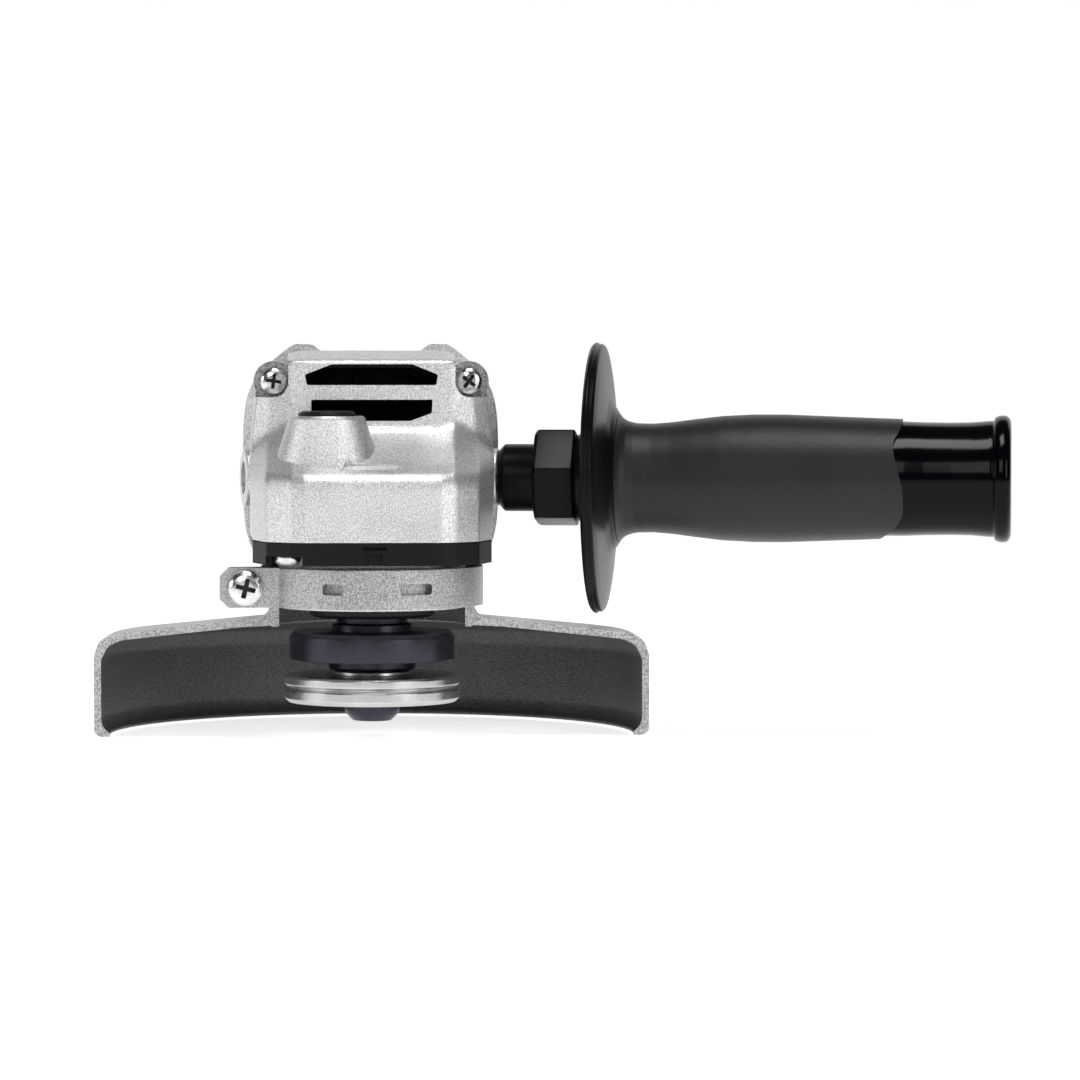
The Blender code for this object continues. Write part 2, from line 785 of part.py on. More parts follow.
def drive_gear():
    """The large bevel gear. Its teeth face up, and its rim holds the holes that the lock pin enters."""
    hub_top = SPINDLE_TIP_Z - 1.0
    hub_low = SPINDLE_BEARING_Z + SPINDLE_BEARING_WIDTH + 2 * CLEAR
    rim_top = GEAR_RIM_Z + GEAR_RIM_THICK
    body = (
        (SPINDLE_BEARING_BORE_R + CLEAR, hub_low),
        (9.5, hub_low),
        (9.5, GEAR_RIM_Z),
        (GEAR_RIM_R, GEAR_RIM_Z),
        (GEAR_RIM_R, rim_top),
        (9.5, rim_top),
        (9.5, hub_top),
        (SPINDLE_BEARING_BORE_R + CLEAR, hub_top),
    )
    gear = add("drive_gear", turned(body), "steel")

    def station(is_tooth):
        height = MODULE if is_tooth else -1.3 * MODULE
        spots = [cone_point(GEAR_TEETH, PINION_TEETH, share, height) for share in (1, TOOTH_INNER_SHARE)]
        (outer_r, outer_h), (inner_r, inner_h) = spots
        base = rim_top - 0.8
        return ((outer_r, MOTOR_Z - outer_h), (17.4, base), (12.6, base), (inner_r, MOTOR_Z - inner_h))

    teeth = toothed(GEAR_TEETH, station, TOOTH_TIP_HALF, TOOTH_ROOT_HALF)
    half_pitch = math.pi / GEAR_TEETH
    bmesh.ops.rotate(teeth, matrix=Matrix.Rotation(half_pitch, 3, "Z"), verts=teeth.verts)
    holes = []
    reach, aim = math.hypot(LOCK_X, LOCK_Y), math.atan2(LOCK_Y, LOCK_X)
    for number in range(LOCK_HOLES):
        angle = aim + 2 * math.pi * number / LOCK_HOLES
        spot = (reach * math.cos(angle), reach * math.sin(angle), 0)
        holes.append(rod(LOCK_PIN_R + 2 * CLEAR, GEAR_RIM_Z - 1, rim_top + 1, spot, steps=SMALL_ROUND))
    fuse(gear, teeth)
    return cut(gear, joined(holes))


def pinion():
    def station(is_tooth):
        height = MODULE if is_tooth else -1.3 * MODULE
        outer, inner = [cone_point(PINION_TEETH, GEAR_TEETH, s, height) for s in (1, TOOTH_INNER_SHARE)]
        bore = 3.0
        return (outer, (bore, GEAR_TEETH * MODULE / 2 + 1.2), (bore, inner[1] - 0.2), inner)

    shape = toothed(PINION_TEETH, station, TOOTH_TIP_HALF, TOOTH_ROOT_HALF)
    half_turn = Matrix.Rotation(math.pi / 2, 3, "Z")
    bmesh.ops.rotate(shape, matrix=half_turn, verts=shape.verts)
    return add("pinion", placed(shape, (0, 0, MOTOR_Z), "Y"), "steel", (0, 0, MOTOR_Z))


def needle_bush():
    return add("needle_bush", turned(ring(SPINDLE_TIP_R + CLEAR, 7.0, 66.6, 73.0)), "brass")


def spindle_lock():
    spot = (LOCK_X, LOCK_Y, 0)
    skirt = 73.0
    profile = (
        (0, skirt),
        (BUTTON_R, skirt),
        (BUTTON_R, BUTTON_TOP - 0.5),
        (BUTTON_R - 0.5, BUTTON_TOP),
        (0, BUTTON_TOP),
    )
    button = turned(profile, spot, steps=SMALL_ROUND * 2)
    add("lock_button", button, "black_plastic", (LOCK_X, LOCK_Y, skirt))
    rim_top = GEAR_RIM_Z + GEAR_RIM_THICK
    pin = rod(LOCK_PIN_R, rim_top + 0.6, skirt - CLEAR, spot)
    add("lock_pin", pin, "steel", (LOCK_X, LOCK_Y, skirt))
    spring("lock_spring", 4.6, 0.4, 3, (LOCK_X, LOCK_Y, 68.5), (LOCK_X, LOCK_Y, skirt - CLEAR))


# ---------------------------------------------------------------- guard and clamp


def guard_shell():
    wall = GUARD_WALL
    neck_in, neck_out = NECK_R + CLEAR, NECK_R + 2.1
    neck_middle = (neck_in + neck_out) / 2
    skirt_z = GUARD_TOP_OUTER_Z - 5.5
    section = (
        (neck_middle, GUARD_TOP_INNER_Z - wall),
        (GUARD_SHOULDER_R - 0.5, GUARD_TOP_OUTER_Z - wall),
        (GUARD_R - wall, skirt_z - 0.5),
        (GUARD_R - wall, GUARD_BOTTOM + 2 * wall),
        (GUARD_R - wall - GUARD_LIP + 0.6, GUARD_BOTTOM + wall * 0.7),
        (GUARD_R - wall - GUARD_LIP, GUARD_BOTTOM),
        (GUARD_R - 1.2, GUARD_BOTTOM),
        (GUARD_R, GUARD_BOTTOM + 1.2),
        (GUARD_R, skirt_z),
        (GUARD_SHOULDER_R, GUARD_TOP_OUTER_Z),
        (neck_out + 1.6, GUARD_TOP_INNER_Z),
        (neck_middle, GUARD_TOP_INNER_Z + 3.0),
    )
    guard = add("guard_shell", turned(section, steps=30, start=-10, sweep=200), "guard_paint")
    far = GUARD_R + 5
    ahead = block((-far, far), (-far, GUARD_CUT_Y), (GUARD_BOTTOM - 2, GUARD_TOP_INNER_Z + 4))
    cut(guard, ahead)
    fuse(guard, turned(ring(neck_in, neck_out, GUARD_TOP_INNER_Z - wall - 0.4, GUARD_NECK_TOP)))
    below_band = (GUARD_TOP_INNER_Z - wall - 2, BAND_Z + 0.8)
    return cut(guard, block((-far, far), (-far, GUARD_CUT_Y), below_band))


def band_radii():
    inner = NECK_R + 2.1 + CLEAR
    return inner, inner + BAND_THICK


def clamp_band():
    """The strip around the guard's neck, with two lugs that its screw draws together."""
    inner, outer = band_radii()
    low, high = BAND_Z, BAND_Z + BAND_HIGH
    band = add("clamp_band", turned(ring(inner, outer, low, high)), "guard_paint")
    front = -math.sqrt(outer**2 - 23.5**2)
    back = front + BAND_THICK + LUG_GAP
    chamfer = 2.2
    face = [
        (LUG_X, low + chamfer), (LUG_X + chamfer, low), (-20.5, low), (-20.5, high),
        (LUG_X + chamfer, high), (LUG_X, high - chamfer),
    ]
    face_back = [(max(x, LUG_X), z) if x < -21 else (x - 2.5, z) for x, z in face]
    fuse(
        band,
        prism(face, front, front + BAND_THICK, "Y"),
        prism(face_back, back, back + BAND_THICK, "Y"),
    )
    middle_z = BAND_Z + BAND_HIGH / 2
    windows = ((-12.6, -7.4), (6.8, 14.8))
    cut(
        band,
        rod(inner, low - 1, high + 1, steps=ROUND),
        block((LUG_X - 1, -inner * 0.6), (front + BAND_THICK, back), (low - 1, high + 1)),
        rod(CLAMP_SHANK_R + CLEAR, front - 2, back + BAND_THICK + 2, (CLAMP_SCREW_X, 0, middle_z), "Y"),
        *[block(x, (-outer - 2, -inner * 0.5), (middle_z - 1.5, middle_z + 1.5)) for x in windows],
    )
    return band, front, back


def clamp_screw(front, back):
    spot = (CLAMP_SCREW_X, 0, BAND_Z + BAND_HIGH / 2)
    length = back + BAND_THICK + 6 - front
    pan_screw("clamp_screw", spot, "Y", front, length, CLAMP_SHANK_R, CLAMP_HEAD_R, 2.9)
    low = back + BAND_THICK + CLEAR
    half = 3.2
    x = (CLAMP_SCREW_X - half, CLAMP_SCREW_X + half)
    z = (spot[2] - half, spot[2] + half)
    nut = add("clamp_square_nut", block(x, (low, low + 3.6), z), "zinc_steel")
    cut(nut, rod(CLAMP_SHANK_R + CLEAR, low - 1, low + 5, spot, "Y"))


# ---------------------------------------------------------------- side handle


def side_handle():
    add("handle_stud", on_boss(1, rod(STUD_R, -STUD_DEPTH, 46)), "zinc_steel")
    disc_back = DISC_AT + 3.4
    core = (
        (STUD_R + CLEAR, CLEAR),
        (COLLAR_R - 1.4, CLEAR),
        (COLLAR_R, 1.5),
        (COLLAR_R, COLLAR_END),
        (10.6, COLLAR_END),
        (10.6, HEX_END + 1.4),
        (12.4, DISC_AT - 2.2),
        (20.0, DISC_AT - 3.6),
        (DISC_R - 1.6, DISC_AT - 4.8),
        (DISC_R, DISC_AT - 3.9),
        (DISC_R - 0.3, DISC_AT - 1.6),
        (22.0, DISC_AT + 1.4),
        (14.0, disc_back),
        (GRIP_CORE_R, disc_back),
        (GRIP_CORE_R, GRIP_END + 14),
        (0, GRIP_END + 14),
        (0, 48),
        (STUD_R + CLEAR, 48),
    )
    handle = add("handle_core", on_boss(1, turned(core)), "black_plastic")
    hexagon = turned(ring(10.0, HEX_R, COLLAR_END + 0.01, HEX_END), steps=6)
    bmesh.ops.rotate(hexagon, matrix=Matrix.Rotation(HEX_TURN, 3, "Z"), verts=hexagon.verts)
    fuse(handle, on_boss(1, hexagon))
    bore, start = GRIP_CORE_R + CLEAR, disc_back + CLEAR
    grip = (
        (bore, start),
        (15.6, start),
        (14.0, start + 3.6),
        (14.0, 40.0),
        (15.2, 50.0),
        (16.4, 66.0),
        (16.4, 74.0),
        (15.6, 96.0),
        (15.3, GRIP_END),
        (bore, GRIP_END),
    )
    add("grip_sleeve", on_boss(1, turned(grip)), "soft_rubber")
    near = GRIP_END + CLEAR
    end = (
        (bore, near),
        (14.6, near),
        (14.2, HANDLE_END - 18.0),
        (15.0, HANDLE_END - 7.0),
        (16.2, HANDLE_END - 4.4),
        (16.2, HANDLE_END - 1.2),
        (15.0, HANDLE_END),
        (0, HANDLE_END),
        (0, GRIP_END + 14 + CLEAR),
        (bore, GRIP_END + 14 + CLEAR),
    )
    add("handle_end", on_boss(1, turned(end)), "gloss_plastic")


# ---------------------------------------------------------------- motor


def on_motor(profile, name, kind, steps=ROUND):
    return add(name, turned(profile, (0, 0, MOTOR_Z), "Y", steps), kind, (0, 0, MOTOR_Z))


def sealed_bearing(name, inner_r, outer_r, low, width):
    """A shielded ball bearing as one ring, with its shields set back from its faces."""
    high, shield = low + width, 0.7
    inside, outside = inner_r + 2.0, outer_r - 2.0
    section = (
        (inner_r + CLEAR, low),
        (inside, low),
        (inside, low + shield),
        (outside, low + shield),
        (outside, low),
        (outer_r, low),
        (outer_r, high),
        (outside, high),
        (outside, high - shield),
        (inside, high - shield),
        (inside, high),
        (inner_r + CLEAR, high),
    )
    on_motor(section, name, "steel", SMALL_ROUND * 2)


def armature_shaft():
    profile = (
        (0, 9.6),
        (2.7, 9.6),
        (2.7, 19.6),
        (FRONT_BEARING_BORE_R, 19.6),
        (FRONT_BEARING_BORE_R, FRONT_BEARING_Y + FRONT_BEARING_WIDTH + 1),
        (SHAFT_R, FRONT_BEARING_Y + FRONT_BEARING_WIDTH + 1),
        (SHAFT_R, REAR_BEARING_Y + REAR_BEARING_WIDTH + 1),
        (0, REAR_BEARING_Y + REAR_BEARING_WIDTH + 1),
    )
    return on_motor(profile, "armature_shaft", "steel", SMALL_ROUND * 2)


def slotted(count, outer, slot_r, inner, low, high):
    def station(is_tooth):
        radius = outer if is_tooth else slot_r
        return ((radius, low), (radius, high), (inner, high), (inner, low))

    return placed(toothed(count, station, 0.35, 0.37), (0, 0, MOTOR_Z), "Y")


def armature():
    armature_shaft()
    nut = turned(ring(3.5, 5.0, 10.0, 12.4), (0, 0, MOTOR_Z), "Y", 6)
    add("pinion_nut", nut, "steel", (0, 0, MOTOR_Z))
    bore = SHAFT_R + CLEAR
    low, high = CORE_Y, CORE_Y + CORE_LONG
    core = slotted(12, CORE_R, 12.5, bore, low, high)
    add("armature_core", core, "laminate", (0, 0, MOTOR_Z))
    ends = [ring(bore, 15.0, low - 7.5, low - CLEAR), ring(bore, 15.0, high + CLEAR, high + 8)]
    end_rings = joined([turned(end, (0, 0, MOTOR_Z), "Y", SMALL_ROUND * 2) for end in ends])
    windings = add("armature_windings", end_rings, "copper", (0, 0, MOTOR_Z))
    bars = []
    for number in range(12):
        bar = block((13.2, 14.8), (-0.55, 0.55), (low - 2, high + 2))
        turn = Matrix.Rotation(2 * math.pi * (number + 0.5) / 12, 3, "Z")
        bmesh.ops.rotate(bar, matrix=turn, verts=bar.verts)
        bars.append(placed(bar, (0, 0, MOTOR_Z), "Y"))
    fuse(windings, joined(bars))
    low = COMMUTATOR_Y
    on_motor(ring(bore, COMMUTATOR_R, low, low + COMMUTATOR_LONG), "commutator", "copper", SMALL_ROUND * 2)


def fan():
    hub = ((SHAFT_R + CLEAR, FAN_Y), (8, FAN_Y), (8, FAN_Y + 7), (FAN_R, FAN_Y + 7), (FAN_R, FAN_Y + 9),
           (SHAFT_R + CLEAR, FAN_Y + 9))
    wheel = on_motor(hub, "fan", "black_plastic")
    blades = []
    for number in range(11):
        blade = block((7, FAN_R - 0.8), (-0.8, 0.8), (FAN_Y + 0.5, FAN_Y + 7.5))
        turn = Matrix.Rotation(2 * math.pi * number / 11, 3, "Z")
        bmesh.ops.rotate(blade, matrix=turn, verts=blade.verts)
        blades.append(placed(blade, (0, 0, MOTOR_Z), "Y"))
    fuse(wheel, joined(blades))


def fan_baffle():
    section = ((20.0, BAFFLE_Y + 2.5), (17.6, BAFFLE_Y), (27.4, BAFFLE_Y), (27.4, BAFFLE_Y + 2.5))
    return on_motor(section, "fan_baffle", "black_plastic")


def arc(radius, start, end, count):
    """Points along an arc about the motor's axis, in degrees from +X."""
    steps = [math.radians(start + (end - start) * i / (count - 1)) for i in range(count)]
    return [(radius * math.cos(a), MOTOR_Z + radius * math.sin(a)) for a in steps]


def ring_sector(inner, outer, start, end, count):
    return [*arc(outer, start, end, count), *arc(inner, end, start, count)]


def stator():
    low, high = CORE_Y, CORE_Y + CORE_LONG
    core = add("stator_core", rod(STATOR_R, low, high, (0, 0, MOTOR_Z), "Y", ROUND), "laminate")
    side = STATOR_FLAT_X
    far = STATOR_R + 3
    windows = [
        prism([*arc(25.0, 32, -32, 9), *arc(18.9, -40, 40, 9)], low - 1, high + 1, "Y"),
        prism([*arc(25.0, 212, 148, 9), *arc(18.9, 140, 220, 9)], low - 1, high + 1, "Y"),
    ]
    cut(
        core,
        rod(CORE_R + AIR_GAP, low - 1, high + 1, (0, 0, MOTOR_Z), "Y", ROUND),
        joined(windows),
        joined([block(sorted((s * side, s * far)), (low - 1, high + 1), (MOTOR_Z - far, MOTOR_Z + far))
                for s in (-1, 1)]),
    )
    for name, turn in (("upper", 0), ("lower", 180)):
        field_coil(f"field_coil_{name}", turn, low, high)


def field_coil(name, turn, low, high):
    """A loop around one pole: a leg through each side's window and a bend beyond each end."""
    inner, outer = 19.6, 22.8
    legs = [
        prism(ring_sector(inner, outer, turn + a, turn + b, 4), low - 5, high + 5, "Y")
        for a, b in ((4, 26), (154, 176))
    ]
    bend = ring_sector(inner, outer, turn + 4, turn + 176, 17)
    ends = [prism(bend, y, y + 3.6, "Y") for y in (low - 5.6, high + 2)]
    coil = add(name, ends[0], "copper")
    fuse(coil, ends[1], joined(legs))


def motor_sections(inset):
    """The motor housing's outline along Y, from its square flange to its round tube."""
    front = HEAD_REAR + CLEAR
    steps = (
        (front, FLANGE_HALF - 0.4, FLANGE_HIGH, 4),
        (52.0, FLANGE_HALF - 0.4, FLANGE_HIGH, 4),
        (60.0, MOTOR_TUBE_R, MOTOR_TUBE_R - 0.2, 2),
        (MOTOR_REAR, MOTOR_TUBE_R, MOTOR_TUBE_R - 0.2, 2),
    )
    return [[y, a - inset, b - inset, power] for y, a, b, power in steps]


def motor_housing():
    outer = [oval(a, b, power, y, MOTOR_Z) for y, a, b, power in motor_sections(0)]
    hollow = motor_sections(MOTOR_WALL)
    hollow[0][0] -= 1
    hollow[0][3] = hollow[1][3] = 2
    hollow[-1][0] = MOTOR_REAR - 12
    hollow[0][1:3] = hollow[1][1:3] = 28.2, 28.0
    inner = [oval(a, b, power, y, MOTOR_Z) for y, a, b, power in hollow]
    shell = add("motor_housing", loft(outer), "black_plastic")
    seat_r = REAR_BEARING_R + CLEAR
    web = REAR_BEARING_Y + REAR_BEARING_WIDTH + CLEAR
    behind = MOTOR_REAR + 1
    cut(
        shell,
        loft(inner),
        rod(seat_r, REAR_BEARING_Y - 2, web, (0, 0, MOTOR_Z), "Y", ROUND),
        rod(6.0, web - 1, behind, (0, 0, MOTOR_Z), "Y"),
        prism(ring_sector(15.0, 26.0, 20, 160, 15), web - 8, behind, "Y"),
        prism(ring_sector(15.0, 26.0, 200, 340, 15), web - 8, behind, "Y"),
        block((-28.4, -24.0), (web - 9, behind), (MOTOR_Z - 4.6, MOTOR_Z + 4.6)),
        block((-MOTOR_TUBE_R - 3, -26), (74.0, 101.0), (MOTOR_Z - 3.4, MOTOR_Z + 3.4)),
        joined([rod(SCREW_R + CLEAR, HEAD_REAR - 1, HEAD_REAR + 13.5, (x, 0, z), "Y")
                for x, z, _ in housing_screw_spots()]),
        joined(intake_slots()),
    )
    return shell


def intake_slots():
    """The air's way in, through both sides near the brushes."""
    slots = []
    for side in (-1, 1):
        for number in range(3):
            rise = 9.0 + 4.4 * number
            for up in (-1, 1):
                z = MOTOR_Z + up * rise
                x = sorted((side * 20.0, side * (MOTOR_TUBE_R + 3)))
                slots.append(block(x, (108.0, 121.0), (z - 1.1, z + 1.1)))
    return slots


def brushes():
    middle = COMMUTATOR_Y + COMMUTATOR_LONG / 2
    y = (middle - BRUSH_HALF, middle + BRUSH_HALF)
    near = COMMUTATOR_R + CLEAR
    for name, side in (("left", -1), ("right", 1)):
        x = sorted((side * near, side * (near + BRUSH_LONG - 4)))
        brush = block(x, y, (MOTOR_Z - BRUSH_RISE, MOTOR_Z + BRUSH_RISE))
        add(f"{name}_brush", brush, "carbon", (side * near, middle, MOTOR_Z))
        wall, across, up = 1.1, BRUSH_HALF + CLEAR, BRUSH_RISE + CLEAR
        outside = block(
            sorted((side * (near + 1.4), side * 24.6)),
            (middle - across - wall, middle + across + wall),
            (MOTOR_Z - up - wall, MOTOR_Z + up + wall),
        )
        holder = add(f"{name}_brush_holder", outside, "brass")
        hollow = sorted((side * (near - 1), side * 23.6))
        cut(holder, block(hollow, (middle - across, middle + across), (MOTOR_Z - up, MOTOR_Z + up)))
        start = (side * (near + BRUSH_LONG - 4 + CLEAR), middle, MOTOR_Z)
        spring(f"{name}_brush_spring", 1.7, 0.3, 4, start, (side * 23.3, middle, MOTOR_Z))


def switch():
    slide_y = (84.0, 96.0)
    cap = block((-33.3, -31.0), (79.0, 101.0), (MOTOR_Z - 7, MOTOR_Z + 7))
    button = add("switch_button", cap, "black_plastic", (-30, 90, MOTOR_Z))
    rod_x = -(MOTOR_TUBE_R - MOTOR_WALL - 0.8)
    fuse(button, block((-31.5, rod_x - 0.4), slide_y, (MOTOR_Z - 3, MOTOR_Z + 3)))
    bar = block((rod_x, rod_x + 1.7), (86.0, 150.0), (MOTOR_Z - 4, MOTOR_Z + 4))
    slide = add("switch_rod", bar, "black_plastic", (rod_x, 90, MOTOR_Z))
    fuse(slide, block((rod_x + 0.2, -12.0), (148.0, 149.9), (MOTOR_Z - 3, MOTOR_Z + 3)))
    add("switch_unit", block((-13.0, 9.0), (151.0, 178.0), (MOTOR_Z - 10, MOTOR_Z + 8)), "black_plastic")


# ---------------------------------------------------------------- rear handle


def rear_sections(inset):
    return [oval(a - inset, b - inset, REAR_POWER, y, z) for y, a, b, z in REAR_SECTIONS]


def rear_half_width(y, z):
    """How far the rear handle's outside is from the middle at this place."""
    for (y0, *near), (y1, *far) in zip(REAR_SECTIONS, REAR_SECTIONS[1:]):
        if y0 <= y <= y1:
            share = (y - y0) / (y1 - y0)
            half, high, middle = (a + (b - a) * share for a, b in zip(near, far))
    return half * (1 - abs((z - middle) / high) ** REAR_POWER) ** (1 / REAR_POWER)


def screw_post(side, y, z):
    """A post from the middle into the wall of one half."""
    reach = rear_half_width(y, z) - REAR_WALL / 2
    return rod(3.6, *sorted((side * CLEAR / 2, side * reach)), (0, y, z), "X", SMALL_ROUND)


def rear_screw_bores(radius, low, high):
    return joined([rod(radius, low, high, (0, y, z), "X", SMALL_ROUND) for y, z in REAR_SCREWS])


def rear_half(name, side):
    """One half of the rear handle: a hollow shell, cut at the middle, with posts for its screws."""
    shell = add(name, loft(rear_sections(0)), "black_plastic")
    hollow = rear_sections(REAR_WALL)
    hollow[0] = [(x, y - 1, z) for x, y, z in hollow[0]]
    hollow[-1] = [(x, y - REAR_WALL, z) for x, y, z in hollow[-1]]
    beyond = 60.0
    other = sorted((-side * beyond, side * CLEAR / 2))
    cut(shell, loft(hollow), block(other, (100, 300), (0, 120)))
    fuse(shell, joined([screw_post(side, y, z) for y, z in REAR_SCREWS]))
    cut(
        shell,
        rod(INLET_R + CLEAR, HANDLE_REAR - 8, HANDLE_REAR + 2, (0, 0, INLET_Z), "Y", SMALL_ROUND * 2),
        rear_screw_bores(REAR_SCREW_R + CLEAR, -16, beyond),
        rear_screw_bores(REAR_SCREW_HEAD_R + CLEAR, REAR_SCREW_SEAT, beyond),
    )
    return shell


def rear_screws():
    under = REAR_SCREW_SEAT + CLEAR
    shank, head, tip = REAR_SCREW_R, REAR_SCREW_HEAD_R, -14.5
    profile = (
        (0, tip),
        (shank, tip),
        (shank, under),
        (head, under),
        (head, under + 1.7),
        (head - 0.8, under + 2.3),
        (0, under + 2.3),
    )
    for number, (y, z) in enumerate(REAR_SCREWS, 1):
        add(f"rear_screw_{number}", turned(profile, (0, y, z), "X", SMALL_ROUND), "zinc_steel")


def cord_inlet():
    profile = (
        (4.4, HANDLE_REAR - 6.0),
        (9.6, HANDLE_REAR - 6.0),
        (9.6, HANDLE_REAR - REAR_WALL - CLEAR),
        (INLET_R, HANDLE_REAR - REAR_WALL - CLEAR),
        (INLET_R, HANDLE_REAR + CLEAR),
        (8.6, HANDLE_REAR + CLEAR),
        (8.6, HANDLE_REAR + 3),
        (5.8, INLET_END),
        (4.4, INLET_END),
    )
    add("cord_inlet", turned(profile, (0, 0, INLET_Z), "Y", SMALL_ROUND * 2), "soft_rubber")


# ---------------------------------------------------------------- the whole


def build():
    clear_scene()
    gear_housing()
    housing_screws()
    bearing_flange()
    flange_cover()
    flange_screws()
    bearing("spindle_bearing", (0, 0, 0), "Z", SPINDLE_BEARING_BORE_R, SPINDLE_BEARING_R,
            SPINDLE_BEARING_Z, SPINDLE_BEARING_WIDTH, 8)
    spindle()
    inner_flange()
    clamp_nut()
    bearing_retainer()
    drive_gear()
    pinion()
    needle_bush()
    spindle_lock()
    guard_shell()
    _, front, back = clamp_band()
    clamp_screw(front, back)
    side_handle()
    armature()
    sealed_bearing(
        "front_bearing", FRONT_BEARING_BORE_R, FRONT_BEARING_R, FRONT_BEARING_Y, FRONT_BEARING_WIDTH
    )
    sealed_bearing("rear_bearing", SHAFT_R, REAR_BEARING_R, REAR_BEARING_Y, REAR_BEARING_WIDTH)
    fan()
    fan_baffle()
    stator()
    motor_housing()
    brushes()
    switch()
    rear_half("rear_handle_left", -1)
    rear_half("rear_handle_right", 1)
    rear_screws()
    cord_inlet()


build()
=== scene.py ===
"""The looks of an angle grinder: its castings, guard, clamp, side handle and motor case.

Sizes are in millimetres in the row frame, and MM turns them into metres. What sits on a CAD
node takes its place from that node's box.
"""

import json
import math

import bmesh
import bpy
from mathutils import Matrix, Vector

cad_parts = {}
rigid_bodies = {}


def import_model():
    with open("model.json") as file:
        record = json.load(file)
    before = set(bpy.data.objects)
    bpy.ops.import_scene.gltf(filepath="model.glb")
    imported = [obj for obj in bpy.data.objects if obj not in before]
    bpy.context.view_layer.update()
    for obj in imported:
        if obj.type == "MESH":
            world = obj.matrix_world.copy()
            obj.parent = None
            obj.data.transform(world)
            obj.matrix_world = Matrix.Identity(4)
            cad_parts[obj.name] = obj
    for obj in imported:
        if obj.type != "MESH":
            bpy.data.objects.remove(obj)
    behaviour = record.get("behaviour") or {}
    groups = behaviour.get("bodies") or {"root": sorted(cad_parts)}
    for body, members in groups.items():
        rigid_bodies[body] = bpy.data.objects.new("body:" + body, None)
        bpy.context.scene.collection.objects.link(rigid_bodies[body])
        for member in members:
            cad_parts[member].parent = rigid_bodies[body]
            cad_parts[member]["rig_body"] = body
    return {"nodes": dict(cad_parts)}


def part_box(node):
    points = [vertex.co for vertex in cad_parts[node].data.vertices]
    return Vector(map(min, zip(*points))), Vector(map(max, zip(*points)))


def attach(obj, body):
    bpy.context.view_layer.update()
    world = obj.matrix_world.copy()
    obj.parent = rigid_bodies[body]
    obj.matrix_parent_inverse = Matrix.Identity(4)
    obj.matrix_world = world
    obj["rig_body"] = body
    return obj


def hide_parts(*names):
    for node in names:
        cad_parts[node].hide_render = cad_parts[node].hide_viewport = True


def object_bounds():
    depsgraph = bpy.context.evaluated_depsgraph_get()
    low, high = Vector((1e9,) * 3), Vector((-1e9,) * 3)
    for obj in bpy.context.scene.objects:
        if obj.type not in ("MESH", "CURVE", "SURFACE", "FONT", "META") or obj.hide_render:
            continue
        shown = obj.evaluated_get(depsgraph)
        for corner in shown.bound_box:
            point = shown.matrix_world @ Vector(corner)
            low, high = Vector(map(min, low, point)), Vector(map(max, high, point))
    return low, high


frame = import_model()
cad_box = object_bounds()

MM = 0.001
FINE = 96
AXES = {"X": Vector((1, 0, 0)), "Y": Vector((0, 1, 0)), "Z": Vector((0, 0, 1))}

MOTOR_Z = 64.0
HANDLE_TILT = math.radians(9)
HANDLE_BOSS = Vector((33.0, 12.0, 61.7))
HEAD_BOTTOM = 46.6
NOSE_Y = -31.0
NOSE_TOP = 62.6
FACE_Y = -8.4
SHELF_TOP = 74.3
FACE_TOP = 92.0
HEAD_TOP = 94.5
HEAD_SIDE = 31.0
FLANGE_FRONT = 30.0
HEAD_REAR = 38.0
LOCK = Vector((-11.4, -17.0, 0.0))
HOUSING_SCREW_X = 25.1
HOUSING_SCREW_RISE = 22.6
PAD_Y = 12.0
LABEL_DEEP = 0.5
CASTING, PAD, DUCT, LABEL = range(4)
FLANGE_SCREW_SPOTS = [(side * 21.2, end * 20.5) for side in (-1, 1) for end in (-1, 1)]
CORD_Z = 58.0
DISC_AT = 27.4
GRIP_END = 104.6
HANDLE_END = 131.7


# ---------------------------------------------------------------- finishes


class Socket:
    """A shader output that Python's operators work on."""

    def __init__(self, finish, output):
        self.finish = finish
        self.output = output

    def math(self, operation, *values):
        return self.finish.node("Math", {"operation": operation}, *values)

    def __add__(self, other):
        return self.math("ADD", self, other)

    def __rsub__(self, other):
        return self.math("SUBTRACT", other, self)

    def __mul__(self, other):
        return self.math("MULTIPLY", self, other)

    __radd__ = __add__
    __rmul__ = __mul__


